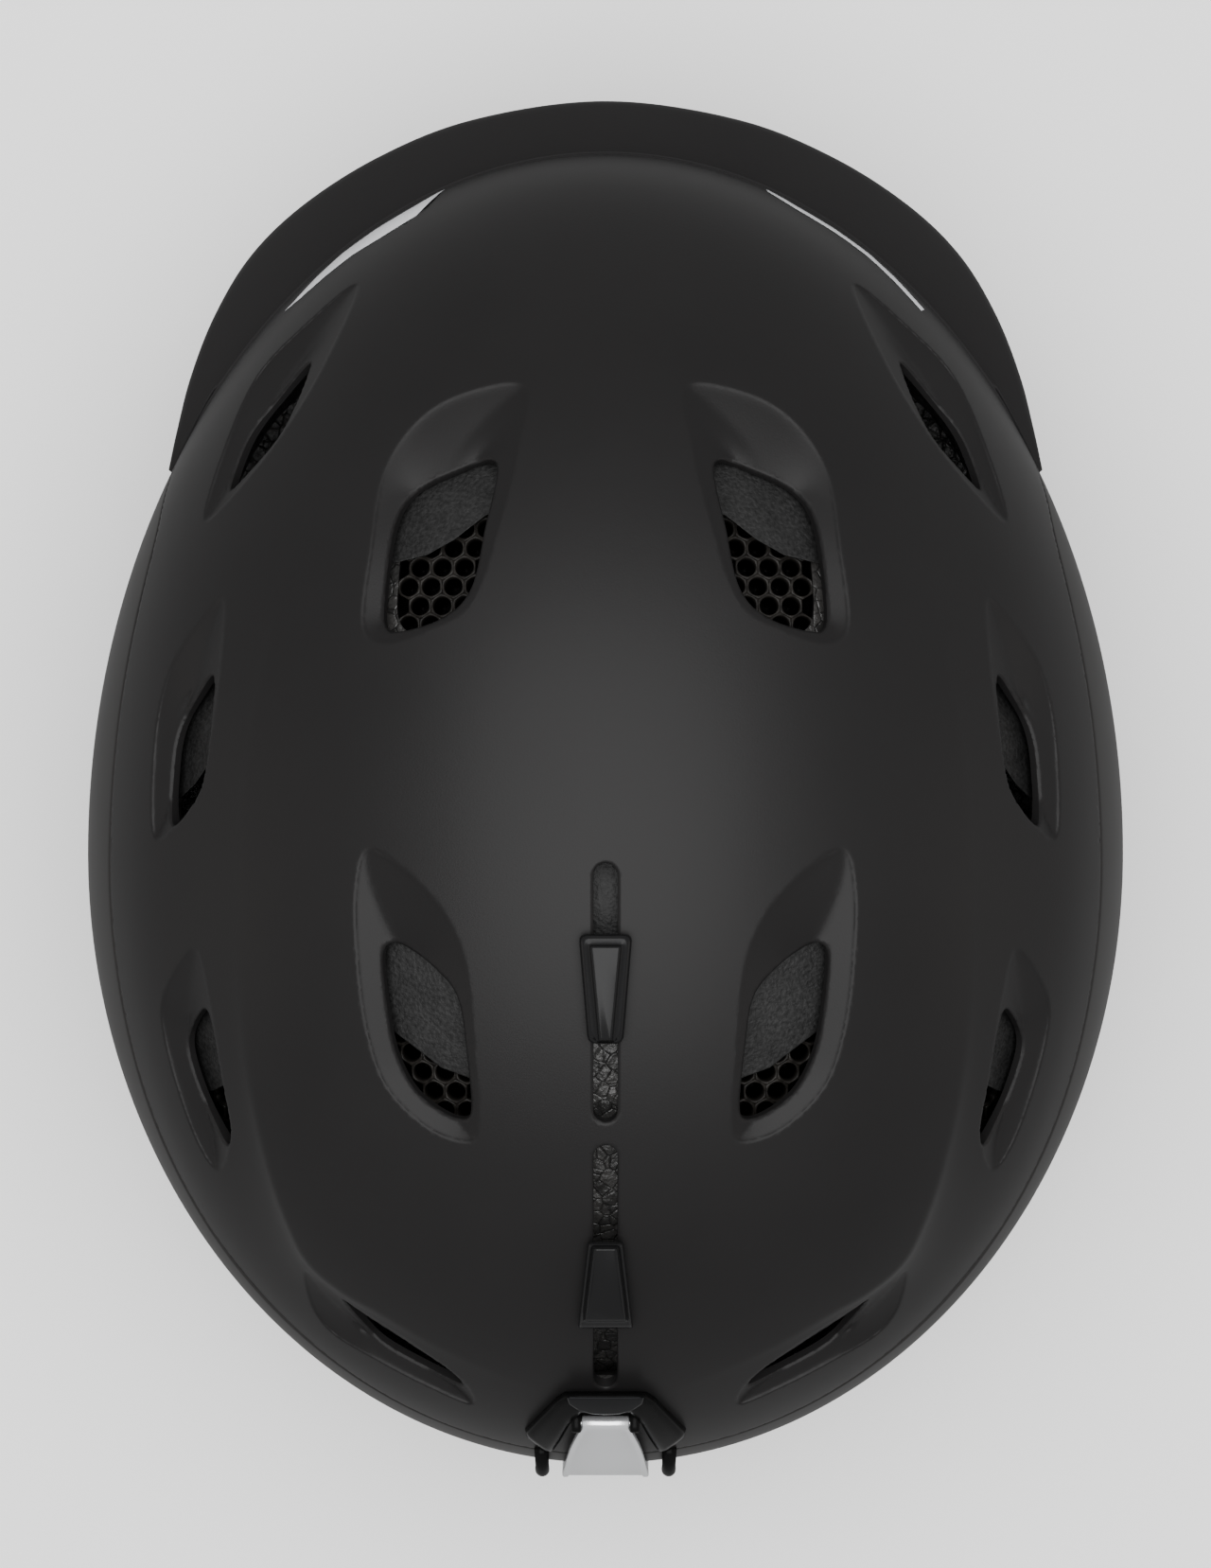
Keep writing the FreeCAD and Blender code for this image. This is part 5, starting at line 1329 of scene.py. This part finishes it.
def carve(obj, lines, depth, width, side):
    """Presses sewn channels into a pad; side(points) gives the way in, zero where it isn't pressed."""
    points = coords(obj) / MM
    pull = np.zeros(len(points))
    for line in lines:
        near = np.full(len(points), 1e9)
        for low in range(0, len(points), 3000):
            gap = np.linalg.norm(points[low:low + 3000, None] - line[None], axis=2)
            near[low:low + 3000] = gap.min(1)
        pull = np.maximum(pull, np.exp(-(near / width) ** 2))
    set_coords(obj, (points + side(points) * (pull * depth)[:, None]) * MM)


def onto(obj, line, origin):
    """The line dropped onto the pad's face nearest to origin, along rays from origin."""
    tree = BVHTree.FromObject(obj, bpy.context.evaluated_depsgraph_get())
    found = []
    for point in line:
        start = Vector(origin(point)) * MM
        hit = tree.ray_cast(start, (Vector(point) * MM - start).normalized())
        if hit[0] is not None:
            found.append(np.array(hit[0]) / MM + np.array(hit[1]) * 0.12)
    return np.array(found)


def inner_point(plan, inset):
    """Points on the cavity taken in by inset, over points of the plan."""
    return np.column_stack((plan, cavity_height(plan, inset)))


def cavity_out(points):
    """Outward directions of the cavity at points in a comfort pad's inner half, zero elsewhere."""
    half = np.array((CAVITY_HALF_WIDTH, CAVITY_HALF_LENGTH, CAVITY_RISE)) - PAD_THICK / 2
    off = points - (0, CAVITY_Y, WIDEST_Z)
    inner = ((off / half) ** 2).sum(1) < 1
    out = off / half ** 2
    out /= np.linalg.norm(out, axis=1)[:, None]
    return out * inner[:, None]


PAD_THICK = 7.0
CROWN_PAD = [(-13, -34), (13, -34), (17, -14), (15, 6), (17, 30), (12, 48), (-12, 48), (-17, 30),
             (-15, 6), (-17, -14)]
SIDE_PAD = [(26, -46), (44, -40), (60, -20), (64, 4), (60, 30), (44, 52), (28, 60), (30, 40), (46, 22),
            (50, 4), (46, -14), (30, -30)]
EAR_X, EAR_Z, EAR_LEAN, EAR_HALF = 86.0, 69.0, 8.0, 8.0
EAR_OUTLINE = [(34, 64), (38, 56), (36, 34), (28, 12), (14, 0), (-14, 0), (-28, 12), (-34, 34),
               (-34, 56), (-26, 64)]


COMFORT = dict(body="helmet", material="comfort_fabric", voxel=3.2, shrink=0.6, cap=1.8)


def channel_up(x, y, heights):
    """A channel that runs up a pad at x; y is one value, or one for each height."""
    return np.column_stack((np.full(len(heights), x), y * np.ones(len(heights)), heights))


def sewn_pad(obj, body, channels, edge, origin, side, depth=2.6, width=2.6):
    """Channels with stitches on a pad's face, and piping round its edge."""
    carve(obj, channels, depth, width, side)
    parts = []
    for line in channels:
        found = onto(obj, line, origin)
        if len(found) > 3:
            parts.append(stitches(found))
    if parts:
        verts, faces = joined(parts)
        make_piece(obj.name + "_stitching", verts, faces, body, "thread")
    if edge is not None:
        verts, faces = tube_along(edge, 0.9, 10, closed=True)
        make_piece(obj.name + "_piping", verts, faces, body, "piping")


def comfort_pads():
    """The pads of the head space, and the one on the fit cradle."""
    def centre(point):
        return (0, CAVITY_Y, WIDEST_Z)

    def level_with(point):
        return (0, CAVITY_Y, point[2])

    pad = plump("crown_pad_cover", "crown_pad", fill=0.55, **COMFORT)
    loop = spline(CROWN_PAD, 1.2, True) * 0.985
    lines = [inner_point(spline([(-16, y0), (0, y0 + 3), (16, y0)], 1.0, False), PAD_THICK)
             for y0 in (-16.0, 4.0, 24.0)]
    sewn_pad(pad, "helmet", lines, inner_point(loop, PAD_THICK * 0.55), centre, cavity_out)
    for side, sign in (("left", 1), ("right", -1)):
        pad = plump("side_pad_cover_" + side, "side_pad_" + side, fill=0.55, **COMFORT)
        loop = spline(SIDE_PAD, 1.2, True) * (sign, 1)
        lines = [inner_point(spline([(x0 * sign, y0), (x1 * sign, y1)], 1.0, False), PAD_THICK)
                 for x0, y0, x1, y1 in ((38, -18, 56, -30), (47, 4, 65, 4), (40, 30, 60, 42))]
        sewn_pad(pad, "helmet", lines, inner_point(loop, PAD_THICK * 0.55), centre, cavity_out)
    pad = plump("brow_pad_cover", "brow_pad", fill=0.6, **COMFORT)
    half_x, half_y = CAVITY_HALF_WIDTH - PAD_THICK, CAVITY_HALF_LENGTH - PAD_THICK
    heights = np.linspace(WIDEST_Z - 2, WIDEST_Z + 20, 24)
    fall = ((heights - WIDEST_Z) / (CAVITY_RISE - PAD_THICK)) ** 2
    lines = [channel_up(x, CAVITY_Y - half_y * np.sqrt(1 - fall - (x / half_x) ** 2), heights)
             for x in (-48.0, -30.0, -10.0, 10.0, 30.0, 48.0)]
    sewn_pad(pad, "helmet", lines, None, level_with, cavity_out)
    pad = plump("nape_pad_cover", "nape_pad", fill=0.6, **COMFORT)
    heights = np.linspace(43, 67, 24)
    lines = [channel_up(x, CAVITY_Y + half_y * math.sqrt(1 - (x / half_x) ** 2), heights)
             for x in (-20.0, 0.0, 20.0)]
    sewn_pad(pad, "helmet", lines, None, level_with,
             lambda points: np.where(points[:, 1:2] < CAVITY_Y + 98, (0, 1.0, 0), 0.0))
    pad = plump("cradle_pad_cover", "cradle_pad", "fit_cradle", "comfort_fabric", 3.0, 0.6, 1.6, 0.6)
    lines = [channel_up(x, 76.0, np.linspace(50, 86, 30)) for x in (-8.0, 8.0)]
    sewn_pad(pad, "fit_cradle", lines, None, lambda point: (point[0], 0, point[2]),
             lambda points: np.where(points[:, 1:2] < 79.5, (0, 1.0, 0), 0.0))


def ear_middle(y, z, sign):
    """A point in the middle plane of an ear pad."""
    return np.column_stack((sign * (EAR_X - EAR_LEAN * (EAR_Z - z) / EAR_Z), y, z))


def ear_pads():
    """The ear pads, fleece on their inner faces, with a sewn ring and piping round the edge."""
    for side, sign in (("left", 1), ("right", -1)):
        body = "ear_pad_" + side
        pad = plump("ear_pad_cover_" + side, "ear_pad_" + side, body, "ear_fabric", 4.0, 0.6, 2.4, 0.5,
                    floor=0.0, rounds=7)
        pad.data.materials.append(MATERIALS["fleece"])
        inwards = read(pad.data.polygons, "normal")[:, 0] * sign < -0.2
        spots = read(pad.data.polygons, "center") / MM
        near = (spots[:, 0] - ear_middle(spots[:, 1], spots[:, 2], sign)[:, 0]) * sign < 0
        pad.data.polygons.foreach_set("material_index", (inwards & near).astype(np.int32))
        plan = spline(EAR_OUTLINE, 1.2, True)
        centre = np.array((1.0, 30.0))
        ring = centre + (plan - centre) * 0.62
        channel = ear_middle(ring[:, 0], ring[:, 1], sign) + (sign * EAR_HALF, 0, 0)

        def inwards_outside(points):
            away = (points - ear_middle(points[:, 1], points[:, 2], sign))[:, 0:1] * sign
            return np.where(away > 1, (-sign, 0.0, 0.0), 0.0)

        sewn_pad(pad, body, [np.vstack((channel, channel[:1]))], None,
                 lambda point: (sign * 200, point[1], point[2]), inwards_outside, 2.8, 3.0)
        hub = ear_middle(centre[:1], centre[1:], sign)[0]
        rim = onto(pad, ear_middle(plan[:, 0], plan[:, 1], sign), lambda point: point + (point - hub) * 0.4)
        for _ in range(4):
            rim = (np.roll(rim, 1, axis=0) + 2 * rim + np.roll(rim, -1, axis=0)) / 4
        rim[:, 2] = np.maximum(rim[:, 2], 1.0)
        verts, faces = tube_along(rim, 1.0, 10, closed=True)
        make_piece("ear_pad_piping_" + side, verts, faces, body, "piping")


def chin_pad():
    """The fleece sleeve on the chin strap, bound at both ends."""
    plump("chin_pad_cover", "chin_pad", "chin_strap", "fleece", 3.0, 0.5, 1.2, 0.6, floor=0.2)
    ring = circle(60)
    loop = (DIVIDER_Y, WEB_Z) + np.array((10.3, 3.4)) * np.sign(ring) * np.abs(ring) ** 0.5
    verts, faces = joined([tube_along(side_on(x, loop), 0.45, 8, closed=True) for x in (-38.5, -12.5)])
    make_piece("chin_pad_binding", verts, faces, "chin_strap", "piping")


SIDES = (("left", 1), ("right", -1))
upper_shell()
lower_shell()
brim()
for side, sign in SIDES:
    for zone in CORES:
        tube_core(zone, side, sign)
    for run in ANCHORS:
        side_strap(run, side, sign)
    chin_web(side, sign)
for end in KNOBS:
    slider_knob(end)
clip_arch()
clip_flap()
buckle_ribs()
comfort_pads()
ear_pads()
chin_pad()
keep_nodes()


# ---------------------------------------------------------------- camera, floor and light
CAMERA_HEIGHT = 1.295
PICTURE_LONG_SIDE = 0.3314        # what the picture's long side spans at the widest level
SENSOR = 36.0
FLOOR_HALF, FLOOR_LEVEL = 4.0, -0.0003
WORLD_STRENGTH = 0.55
# Soft boxes: name, place, target, size, power and colour.
LAMPS = (
    ("overhead", (0, 0.0, 2.2), (0, 0, 0), 2.5, 100.0, (1, 1, 1)),
    ("left", (1.5, 0.15, 0.32), (0, 0, 0.12), 0.7, 1.3, (1, 0.9, 0.82)),
    ("right", (-1.5, 0.15, 0.32), (0, 0, 0.12), 0.7, 1.3, (1, 0.9, 0.82)),
    ("front", (0, -1.7, 0.4), (0, 0, 0.12), 0.8, 0.5, (1, 0.95, 0.9)),
)


def set_stage():
    """A camera straight above, a pale floor, an even white world and soft boxes."""
    cam = bpy.data.cameras.new("camera")
    cam.sensor_width = SENSOR
    cam.lens = SENSOR * (CAMERA_HEIGHT - WIDEST_Z * MM) / PICTURE_LONG_SIDE
    eye = bpy.data.objects.new("camera", cam)
    eye.location = (0, 0, CAMERA_HEIGHT)
    eye.rotation_euler = (0, 0, math.pi)
    bpy.context.scene.collection.objects.link(eye)
    bpy.context.scene.camera = eye
    mesh = bpy.data.meshes.new("floor")
    corners = [(x * FLOOR_HALF, y * FLOOR_HALF, 0) for x, y in ((-1, -1), (1, -1), (1, 1), (-1, 1))]
    mesh.from_pydata(corners, [], [(0, 1, 2, 3)])
    floor = bpy.data.objects.new("floor", mesh)
    floor.location.z = FLOOR_LEVEL
    Surface("floor", (0.93, 0.93, 0.93), 0.6)
    mesh.materials.append(MATERIALS["floor"])
    bpy.context.scene.collection.objects.link(floor)
    floor.visible_glossy = False      # keeps its glare off the shell's sides, as flags round a set do
    world = bpy.data.worlds.new("studio")
    world.use_nodes = True
    world.node_tree.nodes["Background"].inputs["Color"].default_value = (1, 1, 1, 1)
    world.node_tree.nodes["Background"].inputs["Strength"].default_value = WORLD_STRENGTH
    bpy.context.scene.world = world
    for lamp in LAMPS:
        soft_box(*lamp)


def soft_box(name, place, target, size, power, colour):
    """A square area light turned to its target."""
    lamp = bpy.data.lights.new(name, "AREA")
    lamp.size = size
    lamp.energy = power
    lamp.color = colour
    obj = bpy.data.objects.new(name, lamp)
    obj.location = place
    aim = Vector(target) - Vector(place)
    obj.rotation_euler = aim.to_track_quat("-Z", "Y").to_euler()
    bpy.context.scene.collection.objects.link(obj)


set_stage()
